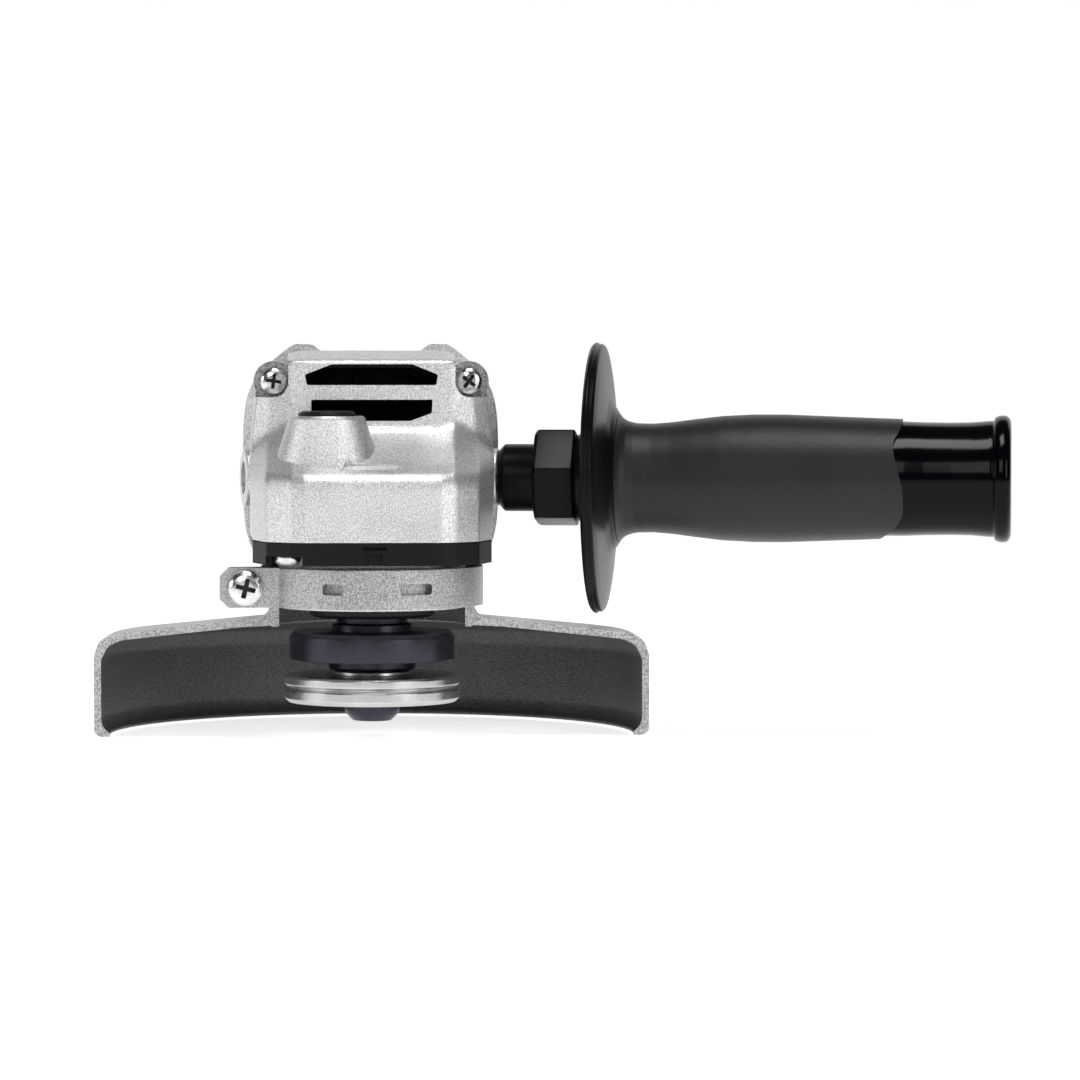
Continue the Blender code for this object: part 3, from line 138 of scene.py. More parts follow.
class Finish:
    """A material whose Principled shader is fed by small expressions."""

    def __init__(self, name, metallic=0.0, **fixed):
        self.material = bpy.data.materials.new(name)
        self.material.use_nodes = True
        self.tree = self.material.node_tree
        self.shader = self.tree.nodes["Principled BSDF"]
        self.shader.inputs["Metallic"].default_value = metallic
        for socket, value in fixed.items():
            self.shader.inputs[socket.replace("_", " ")].default_value = value
        self.place = self.node("TexCoord", output="Object")

    def node(self, kind, settings=None, *values, output=0, **named):
        node = self.tree.nodes.new("ShaderNode" + kind)
        for key, value in (settings or {}).items():
            setattr(node, key, value)
        for key, value in [*enumerate(values), *((k.replace("_", " "), v) for k, v in named.items())]:
            if isinstance(value, Socket):
                self.tree.links.new(value.output, node.inputs[key])
            else:
                node.inputs[key].default_value = value
        return Socket(self, node.outputs[output])

    def noise(self, size, detail=3.0, roughness=0.55, place=None):
        """Noise with features of about this size in millimetres, from 0 to 1."""
        return self.node("TexNoise", None, Vector=place or self.place, Scale=1 / (size * MM),
                         Detail=detail, Roughness=roughness)

    def stretched(self, x, y, z):
        return self.node("Mapping", {"vector_type": "POINT"}, Vector=self.place, Scale=(x, y, z))

    def span(self, value, low, high, to_low=0.0, to_high=1.0):
        """Maps low..high onto another range, and stays within it."""
        return self.node("MapRange", None, value, low, high, to_low, to_high)

    def mix(self, factor, first, second):
        return self.node("Mix", {"data_type": "RGBA"}, output=2, Factor=factor, **{"A": first, "B": second})

    def edges(self, radius=0.5):
        """1 along edges and corners, and 0 on flat faces."""
        bent = self.node("Bevel", {"samples": 4}, Radius=radius * MM)
        plain = self.node("NewGeometry", output="Normal")
        dot = self.node("VectorMath", {"operation": "DOT_PRODUCT"}, bent, plain, output="Value")
        return self.span(1 - dot, 0.01, 0.12)

    def colour(self, value):
        self.link("Base Color", value)

    def link(self, socket, value):
        self.tree.links.new(value.output, self.shader.inputs[socket])

    def bump(self, height, depth, strength=1.0):
        """Raises the surface by a height from 0 to 1, times a depth in millimetres."""
        normal = self.node("Bump", None, Strength=strength, Distance=depth * MM, Height=height)
        self.link("Normal", normal)


def grey(level, tint=0.0):
    return (level, level, level + tint, 1)


def cast_finish(name, light, dark, metallic=0.55, grain=0.55):
    """Bead-blasted casting: a fine speckle over broad, faint clouds."""
    cast = Finish(name, metallic)
    speckle = cast.noise(grain, 1.0, 0.6)
    clouds = cast.noise(14, 3.0)
    mixed = cast.span(speckle * 0.85 + clouds * 0.15, 0.38, 0.60)
    cast.colour(cast.mix(mixed, grey(dark), grey(light, 0.004)))
    cast.link("Roughness", cast.span(clouds, 0.3, 0.7, 0.34, 0.44))
    cast.bump(speckle, 0.12)
    return cast.material


def machined_finish(name, level, roughness, tint=0.0, axis="Z", metallic=1.0, rings=0.35):
    """Turned metal: fine rings about an axis, and a few duller patches."""
    metal = Finish(name, metallic)
    squeeze = {"X": (1, 0.02, 0.02), "Y": (0.02, 1, 0.02), "Z": (0.02, 0.02, 1)}[axis]
    lines = metal.noise(rings, 4.0, 0.6, metal.stretched(*squeeze))
    patches = metal.noise(5, 3.0)
    metal.colour(metal.mix(metal.span(patches, 0.35, 0.7), grey(level * 0.82, tint * 0.8), grey(level, tint)))
    metal.link("Roughness", metal.span(patches + lines * 0.6, 0.6, 1.1, roughness * 0.75, roughness * 1.35))
    metal.bump(lines, 0.02, 0.6)
    return metal.material


def zinc_finish(name):
    zinc = Finish(name, 1.0)
    patches = zinc.noise(2.5, 4.0)
    fine = zinc.noise(0.4, 2.0)
    zinc.colour(zinc.mix(zinc.span(patches, 0.3, 0.7), grey(0.62), grey(0.80, 0.01)))
    zinc.link("Roughness", zinc.span(patches, 0.3, 0.7, 0.16, 0.32))
    zinc.bump(fine, 0.015, 0.5)
    return zinc.material


def plastic_finish(name, level, roughness, grain=0.35, depth=0.03, tint=0.001, sheen=0.25):
    """Moulded plastic with a spark-eroded grain, paler in patches along edges and corners as painted
    highlight.
    """
    plastic = Finish(name, Specular_IOR_Level=sheen)
    fine = plastic.noise(grain, 2.0, 0.6)
    broad = plastic.noise(18, 3.0)
    # Painted highlight: the colour is paler along edges and corners, in patches.
    painted_edge_highlight = plastic.edges(0.5) * plastic.span(plastic.noise(3, 3.0), 0.35, 0.65)
    base = plastic.mix(plastic.span(broad, 0.3, 0.7), grey(level * 0.8, tint), grey(level * 1.25, tint))
    plastic.colour(plastic.mix(painted_edge_highlight * 0.6, base, grey(level * 2.0 + 0.008, tint)))
    plastic.link("Roughness", plastic.span(broad + fine * 0.4, 0.4, 1.0, roughness * 0.85, roughness * 1.15))
    plastic.bump(fine, depth)
    return plastic.material


def laminate_finish(name, axis="Y"):
    """Stacked steel sheets, seen as thin lines across an axis."""
    stack = Finish(name, 0.8)
    wave = stack.node("TexWave", {"bands_direction": axis}, Vector=stack.place, Scale=320.0,
                      Distortion=0.3, output="Fac")
    stack.colour(stack.mix(wave, grey(0.10), grey(0.26, 0.01)))
    stack.link("Roughness", stack.span(stack.noise(4), 0.3, 0.7, 0.35, 0.6))
    stack.bump(wave, 0.08)
    return stack.material


def copper_finish(name, wire=0.6, tint=(0.55, 0.20, 0.08, 1)):
    """Enamelled wire, laid in fine rows."""
    copper = Finish(name, 0.9, Coat_Weight=0.4)
    rows = copper.node("TexWave", {"bands_direction": "DIAGONAL"}, Vector=copper.place,
                       Scale=1 / (wire * 6 * MM), Distortion=1.2, output="Fac")
    copper.colour(copper.mix(rows, (tint[0] * 0.5, tint[1] * 0.5, tint[2] * 0.5, 1), tint))
    copper.link("Roughness", copper.span(copper.noise(2), 0.3, 0.7, 0.25, 0.45))
    copper.bump(rows, 0.15)
    return copper.material


LOOKS = {
    "casting": cast_finish("blasted_casting", 0.86, 0.48, 0.8, 0.36),
    "label_recess": cast_finish("pressed_recess", 0.97, 0.80, 0.5, 0.6),
    # The screw pockets' casting: a coarser grain, and darker as painted shade.
    "casting_pad": cast_finish("rough_casting_painted_shade", 0.45, 0.16, 0.5, 0.45),
    "guard_outside": cast_finish("silver_guard_paint", 0.58, 0.26, 0.5, 0.4),
    # Painted shade for the guard's inside.
    "guard_inside": cast_finish("shaded_guard_paint", 0.11, 0.06, 0.25, 0.5),
    "recess": machined_finish("shaded_recess", 0.06, 0.5),
    "blackened": machined_finish("blackened_steel", 0.05, 0.36, 0.014, metallic=0.85),
    "zinc": zinc_finish("bright_zinc"),
    "turned_zinc": machined_finish("turned_zinc", 0.62, 0.32, 0.006),
    "steel": machined_finish("ground_steel", 0.5, 0.3, axis="Y"),
    "sheets": laminate_finish("steel_sheets"),
    "copper": copper_finish("enamelled_copper"),
    "commutator": machined_finish("copper_bars", 0.45, 0.3, -0.2, axis="Y"),
    "brass": copper_finish("drawn_brass", 2.0, (0.6, 0.42, 0.16, 1)),
    "carbon": plastic_finish("pressed_carbon", 0.03, 0.55, 0.3, 0.05),
    "duct_shade": plastic_finish("shaded_duct", 0.006, 0.8, 0.5, 0.05),
    "plastic": plastic_finish("black_moulding", 0.009, 0.44, sheen=0.22),
    "cover_plastic": plastic_finish("black_cover", 0.007, 0.5, tint=0.002, sheen=0.15),
    "handle_plastic": plastic_finish("handle_moulding", 0.003, 0.30, 0.3, 0.012, sheen=0.11),
    "grip": plastic_finish("soft_grip", 0.009, 0.42, 0.35, 0.07, sheen=0.34),
    "gloss": plastic_finish("glossy_moulding", 0.001, 0.13, 0.6, 0.003, sheen=0.12),
}


# ---------------------------------------------------------------- shapes


def outline_loop(shape, points, closed=True):
    verts = [shape.verts.new(point) for point in points]
    ends = verts[1:] + verts[:1] if closed else verts[1:]
    return verts, [shape.edges.new(pair) for pair in zip(verts, ends)]


def rounded(points, radius, steps=3, on_axis=False):
    """The outline with each corner eased by a short curve, apart from those on an axis."""
    eased = []
    spots = [Vector(point) for point in points]
    for before, corner, after in zip(spots[-1:] + spots[:-1], spots, spots[1:] + spots[:1]):
        into, out = before - corner, after - corner
        if on_axis and corner[0] < 1e-6:
            eased.append(tuple(corner))
            continue
        reach = min(radius, into.length * 0.45, out.length * 0.45)
        first, last = corner + into.normalized() * reach, corner + out.normalized() * reach
        for i in range(steps + 1):
            t = i / steps
            eased.append(tuple(first * (1 - t) ** 2 + corner * 2 * t * (1 - t) + last * t**2))
    return eased


def placed(shape, at=(0, 0, 0), axis="Z"):
    turn = AXES["Z"].rotation_difference(AXES[axis]).to_matrix().to_4x4()
    bmesh.ops.transform(shape, matrix=Matrix.Translation(Vector(at)) @ turn, verts=shape.verts)
    return shape


def turned(profile, at=(0, 0, 0), axis="Z", steps=FINE, ease=0.25, start=0.0, sweep=360.0):
    """Turns a closed (radius, height) outline about an axis."""
    shape = bmesh.new()
    points = [(radius, 0, height) for radius, height in rounded(profile, ease, on_axis=True)]
    verts, edges = outline_loop(shape, points)
    for edge in [edge for edge in edges if all(vert.co.x < 1e-6 for vert in edge.verts)]:
        shape.edges.remove(edge)
    full = sweep == 360
    geometry = list(shape.edges) if full else [*verts, *shape.edges, shape.faces.new(verts)]
    bmesh.ops.rotate(shape, matrix=Matrix.Rotation(math.radians(start), 3, "Z"), verts=shape.verts)
    bmesh.ops.spin(shape, geom=geometry, axis=AXES["Z"], angle=math.radians(sweep),
                   steps=steps, use_merge=full)
    bmesh.ops.remove_doubles(shape, verts=shape.verts, dist=1e-5)
    bmesh.ops.recalc_face_normals(shape, faces=shape.faces)
    return placed(shape, at, axis)


def prism(outline, low, high, axis="Z", ease=0.0):
    """Extrudes an (x, y), (x, z) or (y, z) outline along an axis."""
    points = rounded(outline, ease) if ease else outline
    seat = {
        "X": lambda a, b: (low, a, b),
        "Y": lambda a, b: (a, low, b),
        "Z": lambda a, b: (a, b, low),
    }[axis]
    shape = bmesh.new()
    face = shape.faces.new([shape.verts.new(seat(*point)) for point in points])
    extruded = bmesh.ops.extrude_face_region(shape, geom=[face])
    moved = [item for item in extruded["geom"] if isinstance(item, bmesh.types.BMVert)]
    bmesh.ops.translate(shape, vec=AXES[axis] * (high - low), verts=moved)
    bmesh.ops.recalc_face_normals(shape, faces=shape.faces)
    return shape


def block(x, y, z, ease=0.0):
    shape = bmesh.new()
    bmesh.ops.create_cube(shape, size=1.0)
    bmesh.ops.scale(shape, vec=[high - low for low, high in (x, y, z)], verts=shape.verts)
    bmesh.ops.translate(shape, vec=[(high + low) / 2 for low, high in (x, y, z)], verts=shape.verts)
    return eased(shape, ease) if ease else shape


def rod(radius, low, high, at=(0, 0, 0), axis="Z", steps=48):
    shape = bmesh.new()
    bmesh.ops.create_cone(shape, cap_ends=True, segments=steps,
                          radius1=radius, radius2=radius, depth=high - low)
    bmesh.ops.translate(shape, vec=(0, 0, (low + high) / 2), verts=shape.verts)
    return placed(shape, at, axis)


def loft(sections):
    """Bridges closed outlines of the same number of points, and caps both flat ends."""
    shape = bmesh.new()
    loops = [outline_loop(shape, section) for section in sections]
    for (_, lower), (_, upper) in zip(loops, loops[1:]):
        bmesh.ops.bridge_loops(shape, edges=lower + upper)
    for verts, _ in (loops[0], loops[-1]):
        shape.faces.new(verts)
    bmesh.ops.recalc_face_normals(shape, faces=shape.faces)
    return shape


def eased(shape, width, segments=3, sharper_than=20):
    """Rounds every edge that turns more than this many degrees."""
    limit = math.radians(sharper_than)
    edges = [edge for edge in shape.edges if edge.is_manifold and edge.calc_face_angle(0) > limit]
    bmesh.ops.bevel(shape, geom=edges, offset=width, segments=segments, profile=0.5,
                    affect="EDGES", material=-1, clamp_overlap=True)
    return shape


def joined(shapes):
    whole = bmesh.new()
    for shape in shapes:
        mesh = bpy.data.meshes.new("joined")
        shape.to_mesh(mesh)
        shape.free()
        whole.from_mesh(mesh)
        bpy.data.meshes.remove(mesh)
    return whole


def mirrored(half):
    """A closed outline from its right half, front to back."""
    return [*half, *[(-point[0], *point[1:]) for point in reversed(half)]]


def oval(half_width, half_height, power, y, z, count=96):
    points = []
    for i in range(count):
        angle = 2 * math.pi * (i + 0.5) / count
        across, up = math.cos(angle), math.sin(angle)
        across = math.copysign(abs(across) ** (2 / power), across)
        up = math.copysign(abs(up) ** (2 / power), up)
        points.append((half_width * across, y, z + half_height * up))
    return points


def scratch_object(shape):
    mesh = bpy.data.meshes.new("scratch")
    shape.to_mesh(mesh)
    shape.free()
    obj = bpy.data.objects.new("scratch", mesh)
    bpy.context.scene.collection.objects.link(obj)
    return obj


def carved(shape, *steps):
    """The shape after Booleans. A step is an operation's name and the shape it works with."""
    body = scratch_object(shape)
    tools = []
    for operation, other in steps:
        tool = scratch_object(other)
        tools.append(tool)
        modifier = body.modifiers.new("step", "BOOLEAN")
        modifier.operation = operation
        modifier.object = tool
    graph = bpy.context.evaluated_depsgraph_get()
    result = bmesh.new()
    result.from_mesh(body.evaluated_get(graph).to_mesh())
    for obj in (body, *tools):
        bpy.data.objects.remove(obj)
    bmesh.ops.remove_doubles(result, verts=result.verts, dist=1e-4)
    bmesh.ops.dissolve_degenerate(result, edges=result.edges, dist=1e-4)
    bmesh.ops.recalc_face_normals(result, faces=result.faces)
    return result


def piece(name, shape, looks, slot, *nodes, edge=0.0, smooth=32, paint=None):
    """Finishes a shape that stands for CAD nodes, and rides where they do."""
    if paint:
        for face in shape.faces:
            face.material_index = paint(face)
    bmesh.ops.scale(shape, vec=(MM, MM, MM), verts=shape.verts)
    mesh = bpy.data.meshes.new(name)
    shape.to_mesh(mesh)
    shape.free()
    for look in looks.split():
        mesh.materials.append(LOOKS[look])
    mesh.shade_smooth()
    mesh.set_sharp_from_angle(angle=math.radians(smooth))
    obj = bpy.data.objects.new(name, mesh)
    bpy.context.scene.collection.objects.link(obj)
    if edge:
        bevel = obj.modifiers.new("soft_edges", "BEVEL")
        bevel.width = edge * MM
        bevel.segments = 2
        bevel.limit_method = "ANGLE"
        bevel.angle_limit = math.radians(smooth)
        bevel.harden_normals = True
        flat = obj.modifiers.new("flat_faces", "WEIGHTED_NORMAL")
        flat.keep_sharp = True
    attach(obj, frame["nodes"][nodes[0]]["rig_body"])
    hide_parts(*nodes)
    return obj


def cad_box_mm(node):
    low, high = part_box(node)
    return low / MM, high / MM


# ---------------------------------------------------------------- gear head


def head_outline(front, side_in, low):
    half = (
        (17.0, front, low),
        (20.7, front + 1.6, low),
        (26.8, front + 7.6, low),
        (HEAD_SIDE - side_in, front + 21.0, low),
        (HEAD_SIDE + 0.8, FLANGE_FRONT + 4, low),
    )
    return mirrored(half)


def upper_outline(front, drops, low, inset):
    half = (
        (17.0, front, low - drops[0]),
        (20.7, front + 0.5, low - drops[1]),
        (26.6 - inset, front + 2.4, low - drops[2]),
        (HEAD_SIDE - inset, front + 5.0, low - drops[3]),
        (HEAD_SIDE + 0.8 - inset, FLANGE_FRONT + 4, low - drops[4]),
    )
    return mirrored(half)


def softened_columns(sections, radii, steps=4):
    """Sections whose points, followed from one section to the next, turn in short curves."""
    columns = []
    for column in zip(*sections):
        spots = [Vector(point) for point in column]
        path = [tuple(spots[0])]
        for before, corner, after, radius in zip(spots, spots[1:], spots[2:], radii):
            first = corner + (before - corner).normalized() * min(radius, (before - corner).length * 0.48)
            last = corner + (after - corner).normalized() * min(radius, (after - corner).length * 0.48)
            for i in range(steps + 1):
                t = i / steps
                path.append(tuple(first * (1 - t) ** 2 + corner * 2 * t * (1 - t) + last * t**2))
        columns.append([*path, tuple(spots[-1])])
    return [list(section) for section in zip(*columns)]


def head_loft():
    sections = [
        head_outline(NOSE_Y, 0.8, HEAD_BOTTOM),
        head_outline(NOSE_Y, 0.0, NOSE_TOP),
        upper_outline(FACE_Y, (0, -1.4, 1.6, 5.0, 5.0), SHELF_TOP, 0.0),
        upper_outline(FACE_Y + 1.6, (0, 0, 2.6, 8.0, 5.0), FACE_TOP, 1.6),
        upper_outline(FACE_Y + 14.0, (0, 0.4, 3.4, 9.0, 5.0), HEAD_TOP, 2.2),
    ]
    crisp = [rounded(section, 0.9) for section in sections]
    rear = FLANGE_FRONT + 4
    roof = [(x * 0.6, rear + (y - rear) * 0.95, HEAD_TOP - 0.3) for x, y, _ in crisp[-1]]
    return loft(softened_columns([*crisp, roof], (3.2, 2.6, 1.4, 0.8)))


def slot(points, low, high):
    outline = [(x, low + (high - low) * up) for x, up in points]
    return prism(outline, FACE_Y - 4, FACE_Y + 7, "Y", ease=0.5)


def on_boss(side, shape):
    """Moves a shape from a boss's own frame, whose +Z points out of its face."""
    axis = Vector((side * math.cos(HANDLE_TILT), -math.sin(HANDLE_TILT), 0))
    turn = AXES["Z"].rotation_difference(axis).to_matrix().to_4x4()
    centre = Vector((side * HANDLE_BOSS.x, HANDLE_BOSS.y, HANDLE_BOSS.z))
    bmesh.ops.transform(shape, matrix=Matrix.Translation(centre) @ turn, verts=shape.verts)
    return shape


def top_ear(side):
    points = ((12.6, 92.0), (12.9, 94.3), (15.4, 96.2), (19.9, 96.2), (21.9, 94.9),
              (26.0, 91.6), (26.0, 88.0))
    return prism([(side * x, z) for x, z in points], FLANGE_FRONT - 6, HEAD_REAR, "Y", ease=0.7)


def corner_pad(side):
    """The clearance in front of an upper screw, rounded around its head."""
    near, far = side * 21.2, side * 37.0
    points = ((near, 99.0), (near, 85.5), (side * 22.8, 83.0), (side * 25.0, 82.5), (far, 82.7), (far, 99.0))
    return prism(points, NOSE_Y - 1, PAD_Y, "Y", ease=1.0)


def lock_boss():
    sections = []
    for z, half_x, half_y, middle in (
        (60.0, 15.0, 11.9, -14.0), (66.0, 13.4, 11.4, -14.6),
        (69.5, 12.2, 10.8, -15.3), (76.9, 9.8, 9.8, -17.0),
        (77.6, 9.6, 9.6, -17.0), (78.0, 9.1, 9.1, -17.0),
    ):
        turns = [2 * math.pi * i / 64 for i in range(64)]
        sections.append([(LOCK.x + half_x * math.cos(a), middle + half_y * math.sin(a), z) for a in turns])
    return loft(sections)


def housing_screw_bore(side, up, seat):
    spot = (side * HOUSING_SCREW_X, 0, MOTOR_Z + up * HOUSING_SCREW_RISE)
    return rod(2.4, seat - 3, HEAD_REAR + 1, spot, "Y", 24)


def gear_housing():
    flange = [(x, z) for x, _, z in oval(33.5, 30.3, 4, 0, MOTOR_Z, 72)]
    seats = [
        rod(5.2, 11.4, HEAD_REAR - 1, (side * HOUSING_SCREW_X, 0, MOTOR_Z + HOUSING_SCREW_RISE), "Y")
        for side in (-1, 1)
    ]
    chamber = ((0, 44.0), (24.6, 44.0), (24.6, 62.5), (7.3, 64.5), (7.3, 73.3), (0, 73.3))
    bore = ((0, 6.0), (8.4, 6.0), (8.4, 23.7), (13.3, 23.7), (13.3, 39.0), (0, 39.0))
    button = ((0, 59.5), (2.3, 59.5), (2.3, 68.2), (7.55, 68.2), (7.55, 86.0), (0, 86.0))
    duct = ((-3.5, 76.6), (21, 76.6), (24, 79.6), (40, 79.6), (40, 90.6), (2, 90.6), (-3.5, 89.8))
    upper_slot = ((-16.5, 0.0), (16.3, 0.0), (16.8, 0.5), (10.2, 1.0), (-10.2, 1.0), (-17.0, 0.5))
    lower_slot = ((-15.4, 0.0), (9.8, 0.0), (15.2, 0.37), (15.4, 1.0), (-15.4, 1.0))
    slope = math.atan2(SHELF_TOP - NOSE_TOP, FACE_Y - NOSE_Y)
    plaque = prism([(-8.2, 4.6), (5.6, 4.6), (7.2, 7.6), (-6.6, 7.6)], -LABEL_DEEP, 2.0, ease=0.4)
    seat = Matrix.Translation((0, NOSE_Y, NOSE_TOP)) @ Matrix.Rotation(slope, 4, "X")
    bmesh.ops.transform(plaque, matrix=seat, verts=plaque.verts)
    bores = [housing_screw_bore(side, up, seat) for side in (-1, 1) for up, seat in ((1, 11.4), (-1, 30.0))]
    shape = carved(
        head_loft(),
        ("UNION", eased(prism(flange, FLANGE_FRONT, HEAD_REAR, "Y"), 0.6, 2, 60)),
        ("UNION", joined([top_ear(-1), top_ear(1)])),
        ("UNION", lock_boss()),
        ("UNION", joined([on_boss(s, eased(rod(7.5, -12, 0), 0.5, 2, 60)) for s in (-1, 1)])),
        ("DIFFERENCE", joined([corner_pad(-1), corner_pad(1)])),
        ("UNION", joined(seats)),
        ("DIFFERENCE", turned(chamber, ease=0.3, steps=64)),
        ("DIFFERENCE", turned(bore, (0, 0, MOTOR_Z), "Y", ease=0.2, steps=64)),
        ("DIFFERENCE", turned(button, LOCK, ease=0.15, steps=60)),
        ("DIFFERENCE", prism(duct, -17.0, 17.0, "X")),
        ("DIFFERENCE", slot(upper_slot, 85.7, 91.0)),
        ("DIFFERENCE", slot(lower_slot, 76.6, 82.0)),
        ("DIFFERENCE", joined([on_boss(s, rod(4.15, -8.6, 1, steps=32)) for s in (-1, 1)])),
        ("DIFFERENCE", joined(bores)),
        ("DIFFERENCE", plaque),
    )
    looks = "casting casting_pad duct_shade label_recess"
    return piece("gear_head_casting", shape, looks, "cast_aluminium", "gear_housing",
                 edge=0.28, smooth=38, paint=head_paint)


def head_paint(face):
    """Rough corner pads behind the screws, darkened as painted shade, shade inside the air duct, and a paler
    label recess.
    """
    centre = face.calc_center_median()
    # Pocket floors behind the screws take the darker casting, as painted shade.
    if abs(centre.y - PAD_Y) < 0.9 and abs(centre.x) > 20 and centre.z > 82 and face.normal.y < -0.7:
        return PAD
    shelf_z = NOSE_TOP + (centre.y - NOSE_Y) * (SHELF_TOP - NOSE_TOP) / (FACE_Y - NOSE_Y)
    if abs(centre.x) < 8.5 and -28 < centre.y < -23 and abs(shelf_z - centre.z - LABEL_DEEP * 1.12) < 0.2:
        return LABEL
    inside = abs(centre.x) < 17.1 and -5.5 < centre.y < 37 and 76.4 < centre.z < 90.9
    return DUCT if inside else CASTING


def cross_recess(face, arm, wide, deep):
    """A tapered cross, to be cut into the face of a screw's head."""
    outline = [(-arm, -wide), (-wide, -wide), (-wide, -arm), (wide, -arm), (wide, -wide), (arm, -wide)]
    outline += [(-x, -y) for x, y in outline]
    shape = prism(outline, face - 0.6, face + deep)
    floor = [vert for vert in shape.verts if vert.co.z > face]
    bmesh.ops.scale(shape, vec=(0.72, 0.72, 1), verts=floor)
    return shape


def pan_screw(node, axis, radius, head_r, high, turn=0.0):
    """A pan-head screw in its node's box, with its head towards the low end of the axis."""
    low, high_corner = cad_box_mm(node)
    centre = (low + high_corner) / 2
    index = "XYZ".index(axis)
    centre[index] = 0
    face, tip = low[index], high_corner[index]
    profile = (
        (0, face), (head_r * 0.45, face + 0.03), (head_r * 0.74, face + high * 0.13),
        (head_r * 0.93, face + high * 0.36), (head_r, face + high * 0.7), (head_r * 0.99, face + high),
        (radius, face + high), (radius, tip - 0.6), (radius - 0.6, tip), (0, tip),
    )
    recess = cross_recess(face, head_r * 0.6, head_r * 0.14, high * 0.55)
    screw = carved(turned(profile, steps=48, ease=0.12), ("DIFFERENCE", recess))
    rim = face + high * 0.2
    for side in screw.faces:
        if is_in_recess(side, head_r, face, rim):
            side.material_index = 1
    bmesh.ops.rotate(screw, matrix=Matrix.Rotation(math.radians(turn), 3, "Z"), verts=screw.verts)
    placed(screw, centre, axis)
    return piece(f"{node}_fine", screw, "zinc recess", "zinc_steel", node, edge=0.08, smooth=36)


def is_in_recess(face, head_r, low, rim):
    """The walls and floor of a cross recess: upright or deep, within the head."""
    centre = face.calc_center_median()
    across = math.hypot(centre.x, centre.y)
    upright = abs(face.normal.z) < 0.45
    return across < head_r * 0.66 and low < centre.z < low + head_r and (upright or centre.z > rim)


def head_screws():
    for number, turn in ((1, 8), (2, 30), (3, 38), (4, 60)):
        pan_screw(f"housing_screw_{number}", "Y", 2.1, 3.6, 2.6, turn)
    for number, turn in ((1, 12), (2, 40), (3, 75), (4, 22)):
        pan_screw(f"flange_screw_{number}", "Z", 2.1, 3.6, 2.6, turn)


def lock_button():
    low, high = cad_box_mm("lock_button")
    top = high.z
    profile = ((0, low.z), (7.25, low.z), (7.25, top - 0.7), (6.5, top - 0.12), (5.6, top), (4.9, top - 0.35),
               (0, top - 0.55))
    piece("lock_button_cap", turned(profile, LOCK, ease=0.3), "plastic", "black_plastic", "lock_button")


# ---------------------------------------------------------------- flange, cover and clamp


def plate_outline(inset):
    half = (
        (17.0 - inset * 0.4, NOSE_Y + inset),
        (20.7 - inset * 0.6, NOSE_Y + 1.6 + inset),
        (26.6 - inset, NOSE_Y + 7.6 + inset * 0.6),
        (30.3 - inset, NOSE_Y + 21.0),
        (30.5 - inset, 26.6 - inset),
    )
    return mirrored(half)


def flange_cover():
    low, top = 40.8, 46.3
    shape = carved(
        prism(plate_outline(0), low, top, ease=0.8),
        ("DIFFERENCE", prism(plate_outline(2.0), 43.2, top + 1)),
        ("DIFFERENCE", rod(27.1, low - 1, 45.0, steps=FINE)),
        ("DIFFERENCE", joined([rod(4.2, low - 1, 45.0, (x, y, 0)) for x, y in FLANGE_SCREW_SPOTS])),
        ("DIFFERENCE", block((-2.6, 3.4), (NOSE_Y - 1, NOSE_Y + 1.3), (44.6, 45.6))),
        ("DIFFERENCE", block((-1.6, 2.4), (NOSE_Y - 1, NOSE_Y + 1.2), (low - 1, 43.9))),
        ("DIFFERENCE", block((-26.8, -17.6), (NOSE_Y - 1, -20.5), (low - 1, low + 2.2))),
    )
    piece("flange_cover_moulding", shape, "cover_plastic", "black_plastic", "flange_cover", edge=0.2)


def bearing_flange():
    bore = ((0, 27.0), (16.3, 27.0), (16.3, 44.1), (12.0, 44.1), (12.0, 48.0), (0, 48.0))
    neck = ((0, 29.0), (23.9, 29.0), (23.9, 44.5), (0, 44.5))
    shape = carved(
        prism(plate_outline(2.3), 43.5, 46.3),
        ("UNION", turned(neck, ease=0.5)),
        ("DIFFERENCE", turned(bore, ease=0.3)),
        ("DIFFERENCE", joined([rod(2.4, 42.0, 48.0, (x, y, 0), steps=24) for x, y in FLANGE_SCREW_SPOTS])),
    )
    piece("bearing_flange_casting", shape, "casting", "cast_aluminium", "bearing_flange", edge=0.2)


def guard_profile():
    wall, radius, bottom = 1.8, 70.9, -3.7
    return (
        (25.1, 24.6), (34.0, 24.1), (64.0, 20.9), (67.3, 19.4), (radius - wall, 16.0),
        (radius - wall, 0.2), (radius - wall - 0.7, -1.6), (66.8, -2.9), (66.9, bottom), (69.6, bottom),
        (radius, -2.4), (radius, 17.2), (69.6, 20.3), (66.2, 22.5), (34.0, 26.0), (28.4, 26.5), (26.8, 27.6),
        (25.8, 30.0), (25.1, 30.0),
    )


def guard():
    """The half-round guard: silver outside, and dark inside as painted shade."""
    plate = turned(guard_profile(), steps=120, ease=0.9, start=-12, sweep=204)
    cut = bmesh.ops.bisect_plane(plate, geom=[*plate.verts, *plate.edges, *plate.faces], dist=1e-4,
                                 plane_co=(0, -5.0, 0), plane_no=(0, -1, 0), clear_outer=True)
    rim = [item for item in cut["geom_cut"] if isinstance(item, bmesh.types.BMEdge)]
    bmesh.ops.holes_fill(plate, edges=rim, sides=0)
    neck = turned(((24.2, 24.2), (26.0, 24.2), (26.0, 39.2), (24.2, 39.2)), ease=0.3)
    below_band = block((-30, 30), (-30, -5.0), (20.0, 30.5))
    shape = carved(plate, ("UNION", neck), ("DIFFERENCE", below_band))
    piece("wheel_guard_pressing", shape, "guard_outside guard_inside", "guard_steel", "guard_shell",
          edge=0.2, smooth=40, paint=guard_paint)


